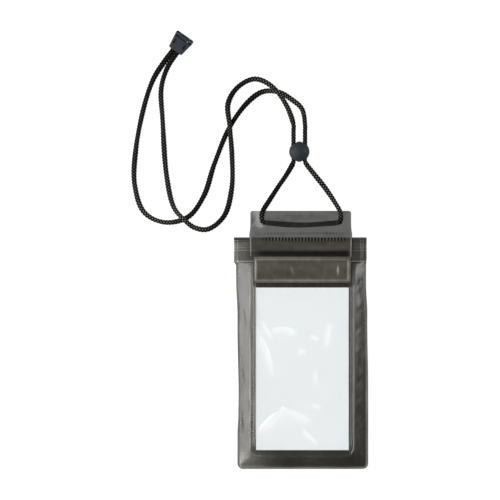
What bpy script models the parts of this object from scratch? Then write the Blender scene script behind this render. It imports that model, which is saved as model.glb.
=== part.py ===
"""Flat phone pouch of welded vinyl film, with a press zip mouth and a neck cord.

The pouch lies on its back: +X to its right, +Y towards the mouth, +Z up through its
thickness. The origin is on the resting plane, under the middle of the welded pouch.
All sizes are in metres.
"""

import math

import bmesh
import bpy
from mathutils import Vector

# Films and the clearance between pieces that touch
FILM = 0.0004
PANE = 0.0003
TOUCH = 0.0003

# Welded body
BODY_LENGTH = 0.1853
BODY_WIDTH = 0.104
BODY_CORNER = 0.0045
WELD_WIDTH = 0.002
WINDOW_WIDTH = 0.074
WINDOW_HEIGHT = 0.130
WINDOW_FROM_BOTTOM = 0.0151
FRAME_BAND = 0.0045
FRAME_TOP_BAND = 0.0034
FRAME_FLAT_SHARE = 0.55
CREST_HEIGHT = 0.00025
CREST_SHARE = 0.3
SLOPE_STATIONS = (0.0, 0.14, 0.32, 0.55, 0.8, 1.0)
PANE_LAP = 0.0036
PANE_TOP_LAP = 0.0020
PHONE_SPACE = 0.0042

# Mouth strip, folded forward over the front film
STRIP_WIDTH = 0.106
STRIP_SHIFT = 0.0018
STRIP_DEPTH = 0.0195
STRIP_CORNER = 0.002
LIP_STEP = 0.002
INNER_FOLD_RADIUS = 0.0005

# Press zip
TRACK_LENGTH = 0.100
TRACK_DEPTH = 0.0125
TRACK_BASE = 0.0005
RIB_HEIGHT = 0.0014
RIB_PITCH = 0.0055
RIB_STEM = 0.0006
RIB_HEAD = 0.0013
RIB_HEAD_HEIGHT = 0.0004
JAW_WALL = 0.0005
JAW_HOOK_HEIGHT = 0.0004

# Closure flap and hanger tab, one sheet
TAB_HEIGHT = 0.0211
TAB_WIDTH = 0.0805
FLAP_WIDTH = 0.077
FLAP_SHOULDER = 0.0038
FLAP_REACH = 0.0167
FLAP_CORNER = 0.002
TAB_LEVEL = 0.0035
TAB_SLOPE = 0.008
TAB_STATIONS = (0.3, 0.6)
ZIP_BULGE = 0.0009
BULGE_END_RUN = 0.0016
PATCH_RIM_INSET = 0.0018
PATCH_RIM_WIDTH = 0.0016
PATCH_RIM_HEIGHT = 0.0003
HOLE_RADIUS = 0.0028
HOLE_SPACING = 0.061
HOLE_FROM_TOP = 0.0089
HOLE_SHIFT = 0.0005

# Hook and loop tape
PAD_LENGTH = 0.068
PAD_DEPTH = 0.0134
PAD_THICKNESS = 0.0009
PAD_SHIFT = -0.0011
PAD_FROM_LIP = 0.0004

# Neck cord and the bead that slides on it
CORD_DIAMETER = 0.0032
CORD_CLEARANCE = 0.0003
BEAD_DIAMETER = 0.0163
BEAD_HEIGHT = 0.013
BEAD_X = -0.0012
BEAD_Y = 0.1503
BORE_SPACING = 0.0092
BORE_FLARE = 0.0008
BORE_FLARE_DEPTH = 0.0016

# Cord end clip, a tapered shell with a hinged lid
CLIP_X = -0.0968
CLIP_Y = 0.2360
CLIP_TURN_DEG = -35.3
CLIP_LENGTH = 0.0125
CLIP_MOUTH_WIDTH = 0.0121
CLIP_WIDE_WIDTH = 0.0160
CLIP_WALL = 0.0012
CLIP_CORNER = 0.0008
CLIP_WIDE_CORNER = 0.0016
CLIP_RIDGE_WIDTH = 0.0008
CLIP_RIDGE_HEIGHT = 0.0004
CLIP_RIDGE_FROM_END = 0.0012
CLIP_CORD_SPACING = 0.0039
LUG_RADIUS = 0.0019
LUG_FOOT_OVERLAP = 0.0006
LUG_FOOT_SHARE = 0.75
HINGE_SETBACK = 0.0005
HINGE_GAP = 0.0003
BARREL_WIDTH = 0.008
TRUNNION_RADIUS = 0.0008
TRUNNION_REACH = 0.0016
LATCH_LENGTH = 0.0030
LATCH_WIDTH = 0.0006
LATCH_RISE = 0.0011
LATCH_CLEARANCE = 0.0004
LATCH_FROM_CAVITY = 0.0007

# Heights of the layers, built up from the resting plane
FLANGE_LEVEL = FILM + TOUCH
FRONT_PANE_LEVEL = FLANGE_LEVEL + PANE + PHONE_SPACE
FRAME_LEVEL = FRONT_PANE_LEVEL + PANE + TOUCH
INNER_LIP_LEVEL = FLANGE_LEVEL + FILM + 2 * INNER_FOLD_RADIUS
MALE_LEVEL = INNER_LIP_LEVEL + FILM + TOUCH
FEMALE_LEVEL = MALE_LEVEL + TRACK_BASE + RIB_HEIGHT + TOUCH
STRIP_LEVEL = max(FEMALE_LEVEL + TRACK_BASE + TOUCH, FRAME_LEVEL)
FLAP_LEVEL = STRIP_LEVEL + FILM + TOUCH
HOOK_LEVEL = FLAP_LEVEL - TOUCH - PAD_THICKNESS
LOOP_LEVEL = HOOK_LEVEL - TOUCH - PAD_THICKNESS
PATCH_LEVEL = LOOP_LEVEL - TOUCH - FILM

# Places across and along the pouch
BODY_X = (STRIP_WIDTH / 2 + STRIP_SHIFT - BODY_WIDTH / 2) / 2
STRIP_X = BODY_X - STRIP_SHIFT
BOTTOM_Y = -(BODY_LENGTH + TAB_HEIGHT) / 2
FOLD_RADIUS = (STRIP_LEVEL + FILM) / 2
FOLD_TOP_Y = BOTTOM_Y + BODY_LENGTH
FOLD_Y = FOLD_TOP_Y - FOLD_RADIUS
LIP_Y = FOLD_TOP_Y - STRIP_DEPTH
INNER_LIP_Y = LIP_Y + LIP_STEP
WINDOW_LOW_Y = BOTTOM_Y + WINDOW_FROM_BOTTOM
WINDOW_HIGH_Y = WINDOW_LOW_Y + WINDOW_HEIGHT
TAB_TOP_Y = FOLD_TOP_Y + TAB_HEIGHT
FLAP_END_Y = LIP_Y - FLAP_REACH
HOLE_Y = TAB_TOP_Y - HOLE_FROM_TOP
PAD_HIGH_Y = LIP_Y - PAD_FROM_LIP
PAD_Y = PAD_HIGH_Y - PAD_DEPTH / 2
PAD_X = BODY_X + PAD_SHIFT

# Route of the neck cord, chosen by hand: from the clip, through the bead, down one leg
# and up through the tab, behind it, and back by the other leg and the bead to the clip
CORD_ROUTE = [
    (-0.0943, 0.2361, 0.0031), (-0.0992, 0.2292, 0.0031), (-0.1064, 0.2179, 0.0016),
    (-0.1114, 0.2015, 0.0016), (-0.1104, 0.1760, 0.0016), (-0.1070, 0.1300, 0.0016),
    (-0.1012, 0.1056, 0.0022), (-0.0938, 0.0968, 0.0054), (-0.0848, 0.0898, 0.0021),
    (-0.0740, 0.0886, 0.0016), (-0.0612, 0.0992, 0.0016), (-0.0551, 0.1215, 0.0016),
    (-0.0549, 0.1470, 0.0018), (-0.0567, 0.1710, 0.0054), (-0.0580, 0.1890, 0.0018),
    (-0.0503, 0.2020, 0.0016), (-0.0368, 0.2086, 0.0016), (-0.0234, 0.2030, 0.0016),
    (-0.0117, 0.1880, 0.0022), (-0.0058, 0.1715, 0.0065), (-0.0058, 0.1670, 0.0065),
    (-0.0058, 0.1470, 0.0065), (-0.0058, 0.1425, 0.0065), (-0.0105, 0.1334, 0.0028),
    (-0.0179, 0.1225, 0.0017), (-0.0256, 0.1106, 0.0040), (-0.0302, 0.1030, 0.0059),
    (-0.0311, 0.0985, 0.0059), (-0.0309, 0.0965, 0.0056), (-0.0304, 0.0948, 0.0045),
    (-0.0294, 0.0940, 0.0030), (-0.0277, 0.0937, 0.0019), (-0.0250, 0.0934, 0.0016),
    (0.0000, 0.0919, 0.0016), (0.0260, 0.0934, 0.0016), (0.0287, 0.0937, 0.0019),
    (0.0304, 0.0940, 0.0030), (0.0314, 0.0948, 0.0045), (0.0318, 0.0965, 0.0056),
    (0.0320, 0.0985, 0.0059), (0.0311, 0.1030, 0.0059), (0.0268, 0.1106, 0.0040),
    (0.0190, 0.1222, 0.0017), (0.0100, 0.1334, 0.0028), (0.0034, 0.1425, 0.0065),
    (0.0034, 0.1470, 0.0065), (0.0034, 0.1670, 0.0065), (0.0034, 0.1715, 0.0065),
    (0.0010, 0.1845, 0.0028), (-0.0080, 0.1927, 0.0028), (-0.0170, 0.1977, 0.0054),
    (-0.0300, 0.1985, 0.0018), (-0.0420, 0.1903, 0.0016), (-0.0566, 0.1703, 0.0016),
    (-0.0691, 0.1404, 0.0016), (-0.0773, 0.1155, 0.0016), (-0.0898, 0.0985, 0.0016),
    (-0.1085, 0.0940, 0.0016), (-0.1249, 0.1018, 0.0016), (-0.1327, 0.1240, 0.0016),
    (-0.1318, 0.1521, 0.0016), (-0.1248, 0.1880, 0.0016), (-0.1176, 0.2088, 0.0016),
    (-0.1085, 0.2231, 0.0019), (-0.1024, 0.2314, 0.0031), (-0.0975, 0.2384, 0.0031),
]
CORD_MAX_STEP = 0.013
CORD_MAX_TURN = math.radians(20)


def clear_scene():
    for obj in list(bpy.data.objects):
        bpy.data.objects.remove(obj, do_unlink=True)


def new_collection(name):
    collection = bpy.data.collections.new(name)
    bpy.context.scene.collection.children.link(collection)
    return collection


def new_material(name, colour, roughness, alpha=1.0):
    material = bpy.data.materials.new(name)
    material.use_nodes = True
    shader = material.node_tree.nodes["Principled BSDF"]
    shader.inputs["Base Color"].default_value = (*colour, 1.0)
    shader.inputs["Roughness"].default_value = roughness
    shader.inputs["Metallic"].default_value = 0.0
    shader.inputs["Alpha"].default_value = alpha
    return material


def add_mesh(name, mesh, material, collection):
    obj = bpy.data.objects.new(name, mesh)
    mesh.materials.append(material)
    collection.objects.link(obj)
    return obj


def mesh_from_bmesh(name, bm):
    mesh = bpy.data.meshes.new(name)
    bm.to_mesh(mesh)
    bm.free()
    return mesh


def as_cutter(obj):
    obj.hide_render = True
    obj.display_type = "WIRE"
    return obj


def boolean(obj, tool, operation):
    modifier = obj.modifiers.new(tool.name, "BOOLEAN")
    modifier.operation = operation
    modifier.object = tool
    modifier.solver = "EXACT"


def smooth_shade(obj, angle_deg=35):
    obj.data.shade_smooth()
    obj.data.set_sharp_from_angle(angle=math.radians(angle_deg))


def ease(value, start, end):
    """0 before start, 1 after end, and a smooth half wave between."""
    t = min(max((value - start) / (end - start), 0.0), 1.0)
    return 0.5 - 0.5 * math.cos(math.pi * t)


def spread(start, end, steps):
    return [start + (end - start) * k / steps for k in range(steps + 1)]


# Films: a grid whose columns run across the pouch and whose rows run along the sheet


def film(name, columns, rows, lift, opening, thickness, material, collection):
    """columns are offsets at full half width, rows are (y, z, centre x, width share)."""
    bm = bmesh.new()
    across, along = len(columns) - 1, len(rows) - 1
    bmesh.ops.create_grid(bm, x_segments=across, y_segments=along, size=1.0)
    for vert in bm.verts:
        column = round((vert.co.x + 1) / 2 * across)
        row = round((vert.co.y + 1) / 2 * along)
        y, z, centre, share = rows[row]
        offset = columns[column] * share
        vert.co = Vector((centre + offset, y, z + lift(offset, row)))
    if opening:
        low_x, high_x, low_y, high_y, top_z = opening
        inside = []
        for face in bm.faces:
            middle = face.calc_center_median()
            across_ok = low_x < middle.x < high_x
            if across_ok and low_y < middle.y < high_y and middle.z < top_z:
                inside.append(face)
        bmesh.ops.delete(bm, geom=inside, context="FACES")
    obj = add_mesh(name, mesh_from_bmesh(name, bm), material, collection)
    wall = obj.modifiers.new("film", "SOLIDIFY")
    wall.thickness = thickness
    wall.offset = 0.0
    wall.use_even_offset = True
    smooth_shade(obj)
    return obj


def corner_rows(edge_y, inward, radius, half_width, steps=4):
    """Rows that round off a free end: (y, width share) from the edge inward."""
    rows = []
    for k in range(steps + 1):
        turn = math.pi / 2 * k / steps
        share = (half_width - radius * (1 - math.sin(turn))) / half_width
        rows.append((edge_y + inward * radius * (1 - math.cos(turn)), share))
    return rows


def folded_rows(level, radius, lip_level, lip_y, body_ys):
    """Rows of a film that lies flat, folds forward at the mouth and lies back on itself."""
    half, strip_share = BODY_WIDTH / 2, STRIP_WIDTH / BODY_WIDTH
    middle = level + FILM / 2
    rows = []
    for y, share in corner_rows(BOTTOM_Y, 1, BODY_CORNER, half):
        rows.append((y, middle, BODY_X, share))
    rows += [(y, middle, BODY_X, 1.0) for y in body_ys]
    rows.append((LIP_Y, middle, STRIP_X, strip_share))
    for y in spread(LIP_Y, FOLD_Y, 3)[1:]:
        rows.append((y, middle, STRIP_X, strip_share))
    for k in range(1, 12):
        turn = math.pi * k / 12
        y = FOLD_Y + radius * math.sin(turn)
        z = middle + radius * (1 - math.cos(turn))
        rows.append((y, z, STRIP_X, strip_share))
    top = lip_level + FILM / 2
    for y in spread(FOLD_Y, lip_y + STRIP_CORNER, 3)[:-1]:
        rows.append((y, top, STRIP_X, strip_share))
    corner = corner_rows(lip_y, 1, STRIP_CORNER, STRIP_WIDTH / 2)
    for y, share in reversed(corner):
        rows.append((y, top, STRIP_X, share * strip_share))
    return rows


def mirrored(offsets):
    return sorted({-value for value in offsets} | set(offsets))


def flat(offset, row):
    return 0.0


WINDOW_BOX = (
    BODY_X - WINDOW_WIDTH / 2,
    BODY_X + WINDOW_WIDTH / 2,
    WINDOW_LOW_Y,
    WINDOW_HIGH_Y,
)


def build_back_panel(material, collection):
    """Flat back film with the window opening, folded forward as the strip's face."""
    columns = mirrored([BODY_WIDTH / 2, WINDOW_WIDTH / 2, WINDOW_WIDTH / 4, 0.0])
    body_ys = spread(WINDOW_LOW_Y, WINDOW_HIGH_Y, 2) + [LIP_Y - STRIP_SHIFT]
    radius = FOLD_RADIUS - FILM / 2
    rows = folded_rows(0.0, radius, STRIP_LEVEL, LIP_Y, body_ys)
    opening = (*WINDOW_BOX, FILM)
    return film("back_panel", columns, rows, flat, opening, FILM, material, collection)


def build_front_panel(material, collection):
    """Front film moulded up from its weld to a raised frame round the window."""
    half = BODY_WIDTH / 2
    weld = half - WELD_WIDTH
    crest = WINDOW_WIDTH / 2 + FRAME_BAND
    band_inner = crest - FRAME_BAND * FRAME_FLAT_SHARE
    slope_steps = [weld + (crest - weld) * station for station in SLOPE_STATIONS]
    inner_steps = [band_inner, (crest + band_inner) / 2, WINDOW_WIDTH / 2]
    columns = mirrored([half, *slope_steps, *inner_steps, WINDOW_WIDTH / 4, 0.0])

    low_weld = BOTTOM_Y + BODY_CORNER
    low_crest = WINDOW_LOW_Y - FRAME_BAND
    band_end = WINDOW_HIGH_Y + FRAME_TOP_BAND
    patch_start = PAD_Y - PAD_DEPTH / 2 - TOUCH
    patch_end = PAD_HIGH_Y + TOUCH
    flat_start = INNER_LIP_Y - TOUCH
    body_ys = spread(low_weld, low_crest, 4)[1:] + [(low_crest + WINDOW_LOW_Y) / 2]
    body_ys += spread(WINDOW_LOW_Y, WINDOW_HIGH_Y, 4)
    body_ys += [(WINDOW_HIGH_Y + band_end) / 2] + spread(band_end, patch_start, 4)
    body_ys += [(patch_start + PAD_Y) / 2, PAD_Y, (PAD_Y + patch_end) / 2]
    body_ys = sorted(set(body_ys) | {patch_end})
    radius = INNER_FOLD_RADIUS + FILM / 2
    rows = folded_rows(FLANGE_LEVEL, radius, INNER_LIP_LEVEL, INNER_LIP_Y, body_ys)
    # the drop from the patch to the strip needs rows of its own
    drop = []
    for y in spread(patch_end, flat_start, 4)[1:]:
        share = ease(y, patch_end, LIP_Y)
        centre = BODY_X + (STRIP_X - BODY_X) * share
        width = 1.0 + (STRIP_WIDTH / BODY_WIDTH - 1.0) * share
        drop.append((y, FLANGE_LEVEL + FILM / 2, centre, width))
    first = next(k for k, row in enumerate(rows) if row[0] >= LIP_Y)
    rows = rows[:first] + drop + rows[first + 1 :]
    flat_rows = len(rows[:first]) + len(drop)

    frame_rise = FRAME_LEVEL - FLANGE_LEVEL
    patch_rise = PATCH_LEVEL - FLANGE_LEVEL

    def lift(offset, row):
        y = rows[row][0]
        if row >= flat_rows or y >= flat_start:
            return 0.0
        from_side = half - abs(offset)
        from_end = y - BOTTOM_Y
        inset_x, inset_y = BODY_CORNER - from_side, BODY_CORNER - from_end
        if inset_x > 0 and inset_y > 0:
            inset = BODY_CORNER - math.hypot(inset_x, inset_y)
        else:
            inset = min(from_side, from_end)
        side_run = (from_side - WELD_WIDTH) / (weld - crest)
        end_run = (from_end - WELD_WIDTH) / (low_crest - BOTTOM_Y - WELD_WIDTH)
        run = min(side_run, end_run, 1.0) if inset > WELD_WIDTH else 0.0
        swell = math.sin(math.pi / 2 * max(run, 0.0))
        into_patch = ease(y, band_end, patch_start)
        within = 1.0 - ease(abs(offset), band_inner, crest)
        fall = max(into_patch * within, ease(y, patch_start, patch_end))
        level = frame_rise + (patch_rise - frame_rise) * fall
        from_crest = max(abs(offset) - crest, low_crest - y)
        on_crest = max(0.0, 1.0 - abs(from_crest) / (FRAME_BAND * CREST_SHARE))
        level += CREST_HEIGHT * on_crest * (1.0 - ease(y, WINDOW_HIGH_Y, band_end))
        return swell * level * (1.0 - ease(y, patch_end, flat_start))

    opening = (*WINDOW_BOX, FRAME_LEVEL + 2 * FILM)
    return film("front_panel", columns, rows, lift, opening, FILM, material, collection)


def build_pane(name, level, material, collection):
    """Clear film that laps behind the edge of a window opening all round."""
    half = WINDOW_WIDTH / 2 + PANE_LAP
    columns = mirrored([half, half / 2, 0.0])
    ys = spread(WINDOW_LOW_Y - PANE_LAP, WINDOW_HIGH_Y + PANE_TOP_LAP, 6)
    rows = [(y, level + PANE / 2, BODY_X, 1.0) for y in ys]
    return film(name, columns, rows, flat, None, PANE, material, collection)


def build_closure_flap(material, collection, cutters):
    """One sheet: hanger tab above the fold, closing flap over the strip below it.

    It arches over the press zip, and a raised rim runs round its patch of hook tape.
    """
    tab_half, flap_half = TAB_WIDTH / 2, FLAP_WIDTH / 2
    flap_share = FLAP_WIDTH / TAB_WIDTH
    shoulder_low = LIP_Y + FLAP_SHOULDER - FLAP_CORNER / 2
    shoulder_high = shoulder_low + FLAP_CORNER
    slope_start, slope_end = FOLD_Y + FILM, FOLD_Y + FILM + TAB_SLOPE
    arch_low, arch_high = track_middle_y(), FOLD_Y - BULGE_END_RUN
    tab_x = 0.0
    rim_low = FLAP_END_Y + PATCH_RIM_INSET
    rim_high = shoulder_low - PATCH_RIM_WIDTH / 2
    rim_side = flap_half - PATCH_RIM_INSET

    def level(y):
        arch = ZIP_BULGE * ease(y, shoulder_high, arch_low)
        arch *= 1.0 - ease(y, arch_high, slope_end - TAB_SLOPE / 2)
        drop = FLAP_LEVEL - TAB_LEVEL
        return FLAP_LEVEL + FILM / 2 + arch - drop * ease(y, slope_start, slope_end)

    half_rim = PATCH_RIM_WIDTH / 2
    rows = []
    for y, share in corner_rows(FLAP_END_Y, 1, FLAP_CORNER, flap_half)[:-1]:
        if y < rim_low - half_rim:
            rows.append((y, level(y), BODY_X, share * flap_share))
    rim_rows = [rim_low - half_rim, rim_low, rim_low + half_rim]
    rim_rows += [PAD_Y, rim_high - half_rim, rim_high, rim_high + half_rim]
    for y in rim_rows:
        corner = max(0.0, FLAP_CORNER - (y - FLAP_END_Y))
        drawn_in = FLAP_CORNER - math.sqrt(FLAP_CORNER**2 - corner**2)
        rows.append((y, level(y), BODY_X, (flap_half - drawn_in) / tab_half))
    arch_rows = spread(shoulder_high, arch_low, 3) + [arch_high]
    for y in arch_rows + spread(slope_start, slope_end, 8):
        rows.append((y, level(y), tab_x, 1.0))
    for y, share in reversed(corner_rows(TAB_TOP_Y, -1, FLAP_CORNER, tab_half)):
        rows.append((y, level(y), tab_x, share))
    rim_columns = [rim_side - half_rim, rim_side, rim_side + half_rim]
    across = [tab_half * station for station in TAB_STATIONS]
    across += [offset / flap_share for offset in rim_columns]
    columns = mirrored([0.0, *across, tab_half])

    def lift(offset, row):
        y = rows[row][0]
        from_rim = max(abs(offset) - rim_side, rim_low - y, y - rim_high)
        return PATCH_RIM_HEIGHT * max(0.0, 1.0 - abs(from_rim) / half_rim)

    flap = film("closure_flap", columns, rows, lift, None, FILM, material, collection)
    for side, sign in (("left", -1), ("right", 1)):
        bm = bmesh.new()
        bmesh.ops.create_cone(
            bm, cap_ends=True, segments=24, depth=2 * FLAP_LEVEL,
            radius1=HOLE_RADIUS, radius2=HOLE_RADIUS,
        )  # fmt: skip
        punch = bpy.data.objects.new(
            f"hole_{side}", mesh_from_bmesh(f"hole_{side}", bm)
        )
        cutters.objects.link(punch)
        punch.location = (HOLE_SHIFT + sign * HOLE_SPACING / 2, HOLE_Y, TAB_LEVEL)
        boolean(flap, as_cutter(punch), "DIFFERENCE")
    return flap


# Press zip: an outline in the plane across the strip, drawn out along it


def drawn_track(name, outline, level, material, collection):
    curve = bpy.data.curves.new(name, "CURVE")
    curve.dimensions = "2D"
    curve.fill_mode = "BOTH"
    curve.extrude = TRACK_LENGTH / 2
    curve.render_resolution_u = 0
    spline = curve.splines.new("POLY")
    spline.points.add(len(outline) - 1)
    for point, (across, up) in zip(spline.points, outline):
        point.co = (across, up, 0.0, 1.0)
    spline.use_cyclic_u = True
    curve.materials.append(material)
    track = bpy.data.objects.new(name, curve)
    collection.objects.link(track)
    track.rotation_euler = (math.pi / 2, 0.0, math.pi / 2)
    track.location = (STRIP_X, track_middle_y(), level)
    return track


def track_middle_y():
    return INNER_LIP_Y + STRIP_CORNER / 2 + TRACK_DEPTH / 2


def build_zip_male(material, collection):
    """Flat strip with two headed ribs standing up."""
    half, neck = TRACK_DEPTH / 2, RIB_HEIGHT - RIB_HEAD_HEIGHT
    outline = [(-half, 0.0), (half, 0.0), (half, TRACK_BASE)]
    for middle in (RIB_PITCH / 2, -RIB_PITCH / 2):
        outline += [
            (middle + RIB_STEM / 2, TRACK_BASE),
            (middle + RIB_STEM / 2, TRACK_BASE + neck),
            (middle + RIB_HEAD / 2, TRACK_BASE + neck),
            (middle + RIB_STEM / 2, TRACK_BASE + RIB_HEIGHT),
            (middle - RIB_STEM / 2, TRACK_BASE + RIB_HEIGHT),
            (middle - RIB_HEAD / 2, TRACK_BASE + neck),
            (middle - RIB_STEM / 2, TRACK_BASE + neck),
            (middle - RIB_STEM / 2, TRACK_BASE),
        ]
    outline.append((-half, TRACK_BASE))
    return drawn_track("zip_track_male", outline, MALE_LEVEL, material, collection)


def build_zip_female(material, collection):
    """Flat strip with a pair of hooked jaws hanging round each rib of the other."""
    half, reach = TRACK_DEPTH / 2, RIB_HEIGHT
    inner = RIB_HEAD / 2 + TOUCH
    hook = RIB_STEM / 2 + TOUCH
    outer = inner + JAW_WALL
    outline = [(half, TRACK_BASE), (-half, TRACK_BASE), (-half, 0.0)]
    for middle in (-RIB_PITCH / 2, RIB_PITCH / 2):
        outline += [
            (middle - outer, 0.0),
            (middle - outer, -reach),
            (middle - hook, -reach),
            (middle - hook, -reach + JAW_HOOK_HEIGHT),
            (middle - inner, -reach + JAW_HOOK_HEIGHT),
            (middle - inner, 0.0),
            (middle + inner, 0.0),
            (middle + inner, -reach + JAW_HOOK_HEIGHT),
            (middle + hook, -reach + JAW_HOOK_HEIGHT),
            (middle + hook, -reach),
            (middle + outer, -reach),
            (middle + outer, 0.0),
        ]
    outline.append((half, 0.0))
    return drawn_track("zip_track_female", outline, FEMALE_LEVEL, material, collection)


def block(name, size, centre, material, collection, bevel=0.0, segments=2):
    """Box with rounded edges, from a unit cube with its size applied."""
    bm = bmesh.new()
    bmesh.ops.create_cube(bm, size=1.0)
    bmesh.ops.scale(bm, vec=Vector(size), verts=bm.verts)
    mesh = mesh_from_bmesh(name, bm)
    if material:
        obj = add_mesh(name, mesh, material, collection)
    else:
        obj = bpy.data.objects.new(name, mesh)
        collection.objects.link(obj)
    obj.location = centre
    if bevel:
        rounding = obj.modifiers.new("edges", "BEVEL")
        rounding.width = bevel
        rounding.segments = segments
        rounding.limit_method = "ANGLE"
    return obj


def build_pads(hook_material, loop_material, collection):
    """Hook tape under the flap and loop tape on the moulded film, face to face."""
    size = (PAD_LENGTH, PAD_DEPTH, PAD_THICKNESS)
    half = PAD_THICKNESS / 2
    edge = PAD_THICKNESS / 4
    where = (PAD_X, PAD_Y, HOOK_LEVEL + half)
    block("hook_pad", size, where, hook_material, collection, edge)
    where = (PAD_X, PAD_Y, LOOP_LEVEL + half)
    block("loop_pad", size, where, loop_material, collection, edge)


# Neck cord


def heights_along(route, steps):
    """Heights that ease from point to point and never pass above or below them."""
    runs, rises = [], []
    for (x0, y0, z0), (x1, y1, z1) in zip(route, route[1:]):
        runs.append(math.hypot(x1 - x0, y1 - y0))
        rises.append((z1 - z0) / runs[-1])
    slopes = [0.0]
    for before, after in zip(rises, rises[1:]):
        level = before * after <= 0
        slopes.append(0.0 if level else 2 * before * after / (before + after))
    slopes.append(0.0)
    heights = []
    for k, run in enumerate(runs):
        z0, z1 = route[k][2], route[k + 1][2]
        for j in range(steps):
            t = j / steps
            blend = t * t * (3 - 2 * t)
            lean = t * (1 - t) * run * ((1 - t) * slopes[k] - t * slopes[k + 1])
            heights.append(z0 + (z1 - z0) * blend + lean)
    heights.append(route[-1][2])
    return heights


def smooth_route(route, steps=24):
    """Centripetal curve in plan through every route point, with its eased heights."""
    points = [Vector(p[:2]) for p in route]
    first = points[0] * 2 - points[1]
    last = points[-1] * 2 - points[-2]
    points = [first, *points, last]
    plan = []
    for k in range(1, len(points) - 2):
        p0, p1, p2, p3 = points[k - 1 : k + 3]
        t1 = math.sqrt((p1 - p0).length)
        t2 = t1 + math.sqrt((p2 - p1).length)
        t3 = t2 + math.sqrt((p3 - p2).length)
        for j in range(steps):
            t = t1 + (t2 - t1) * j / steps
            a1 = p0 * ((t1 - t) / t1) + p1 * (t / t1)
            a2 = p1 * ((t2 - t) / (t2 - t1)) + p2 * ((t - t1) / (t2 - t1))
            a3 = p2 * ((t3 - t) / (t3 - t2)) + p3 * ((t - t2) / (t3 - t2))
            b1 = a1 * ((t2 - t) / t2) + a2 * (t / t2)
            b2 = a2 * ((t3 - t) / (t3 - t1)) + a3 * ((t - t1) / (t3 - t1))
            plan.append(b1 * ((t2 - t) / (t2 - t1)) + b2 * ((t - t1) / (t2 - t1)))
    plan.append(points[-2].copy())
    heights = heights_along(route, steps)
    return [Vector((p.x, p.y, z)) for p, z in zip(plan, heights)]


def thinned(dense, steps=24):
    """Every route point, and more where the cord turns or runs far between them."""
    kept = [dense[0]]
    run, turned = 0.0, 0.0
    for k in range(1, len(dense) - 1):
        step = dense[k] - dense[k - 1]
        run += step.length
        turned += step.angle(dense[k + 1] - dense[k])
        to_next = (dense[min((k // steps + 1) * steps, len(dense) - 1)] - dense[k]).length
        bent = turned > CORD_MAX_TURN and run > CORD_DIAMETER
        far = run > CORD_MAX_STEP and to_next > CORD_DIAMETER
        if k % steps == 0 or far or bent:
            kept.append(dense[k])
            run, turned = 0.0, 0.0
    kept.append(dense[-1])
    return kept


def build_cord(material, collection):
    points = thinned(smooth_route(CORD_ROUTE))
    curve = bpy.data.curves.new("lanyard_cord", "CURVE")
    curve.dimensions = "3D"
    curve.bevel_depth = CORD_DIAMETER / 2
    curve.bevel_resolution = 2
    curve.use_fill_caps = True
    curve.render_resolution_u = 0
    spline = curve.splines.new("POLY")
    spline.points.add(len(points) - 1)
    for target, source in zip(spline.points, points):
        target.co = (*source, 1.0)
    curve.materials.append(material)
    cord = bpy.data.objects.new("lanyard_cord", curve)
    collection.objects.link(cord)
    return cord


def cylinder(name, radius, length, axis, segments, collection, material=None):
    """Cylinder centred on the origin, drawn out along X or Y."""
    bm = bmesh.new()
    bmesh.ops.create_cone(
        bm, cap_ends=True, segments=segments, radius1=radius, radius2=radius, depth=length
    )
    mesh = mesh_from_bmesh(name, bm)
    obj = bpy.data.objects.new(name, mesh)
    if material:
        mesh.materials.append(material)
    collection.objects.link(obj)
    quarter = math.pi / 2
    obj.rotation_euler = (0.0, quarter, 0.0) if axis == "X" else (quarter, 0.0, 0.0)
    return obj


def cone(name, near_radius, far_radius, segments, collection):
    """Cone that widens along its own Z over twice the depth of a bore's flare."""
    bm = bmesh.new()
    bmesh.ops.create_cone(
        bm, cap_ends=True, segments=segments, radius1=near_radius, radius2=far_radius,
        depth=2 * BORE_FLARE_DEPTH,
    )  # fmt: skip
    obj = bpy.data.objects.new(name, mesh_from_bmesh(name, bm))
    collection.objects.link(obj)
    return obj


def build_bead(material, collection, cutters):
    """Slightly flattened ball, turned from a half ellipse, with two flared bores."""
    steps = 20
    curve = bpy.data.curves.new("bead_profile", "CURVE")
    curve.dimensions = "3D"
    curve.render_resolution_u = 0
    spline = curve.splines.new("POLY")
    spline.points.add(steps)
    for k, point in enumerate(spline.points):
        turn = math.pi * k / steps
        radius = BEAD_DIAMETER / 2 * math.sin(turn)
        point.co = (max(radius, 0.0), 0.0, BEAD_HEIGHT / 2 * math.cos(turn), 1.0)
    profile = bpy.data.objects.new("bead_profile", curve)
    collection.objects.link(profile)
    evaluated = profile.evaluated_get(bpy.context.evaluated_depsgraph_get())
    mesh = bpy.data.meshes.new_from_object(evaluated)
    bpy.data.objects.remove(profile, do_unlink=True)
    bead = add_mesh("slider_bead", mesh, material, collection)
    bead.location = (BEAD_X, BEAD_Y, BEAD_HEIGHT / 2)
    turned = bead.modifiers.new("turned", "SCREW")
    turned.axis = "Z"
    turned.steps = 40
    turned.render_steps = 40
    turned.use_merge_vertices = True
    turned.merge_threshold = 0.00001
    turned.use_smooth_shade = True
    radius = CORD_DIAMETER / 2 + CORD_CLEARANCE
    for side, sign in (("left", -1), ("right", 1)):
        bore = cylinder(f"bore_{side}", radius, 2 * BEAD_DIAMETER, "Y", 20, cutters)
        x = BEAD_X + sign * BORE_SPACING / 2
        bore.location = (x, BEAD_Y, BEAD_HEIGHT / 2)
        boolean(bead, as_cutter(bore), "DIFFERENCE")
        mouth_y = math.sqrt((BEAD_DIAMETER**2 - BORE_SPACING**2) / 4)
        for end in (-1, 1):
            flare = cone(f"flare_{side}", radius, radius + BORE_FLARE * 2, 20, cutters)
            flare.location = (x, BEAD_Y + end * mouth_y, BEAD_HEIGHT / 2)
            flare.rotation_euler = (-end * math.pi / 2, 0.0, 0.0)
            boolean(bead, as_cutter(flare), "DIFFERENCE")
    return bead


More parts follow.
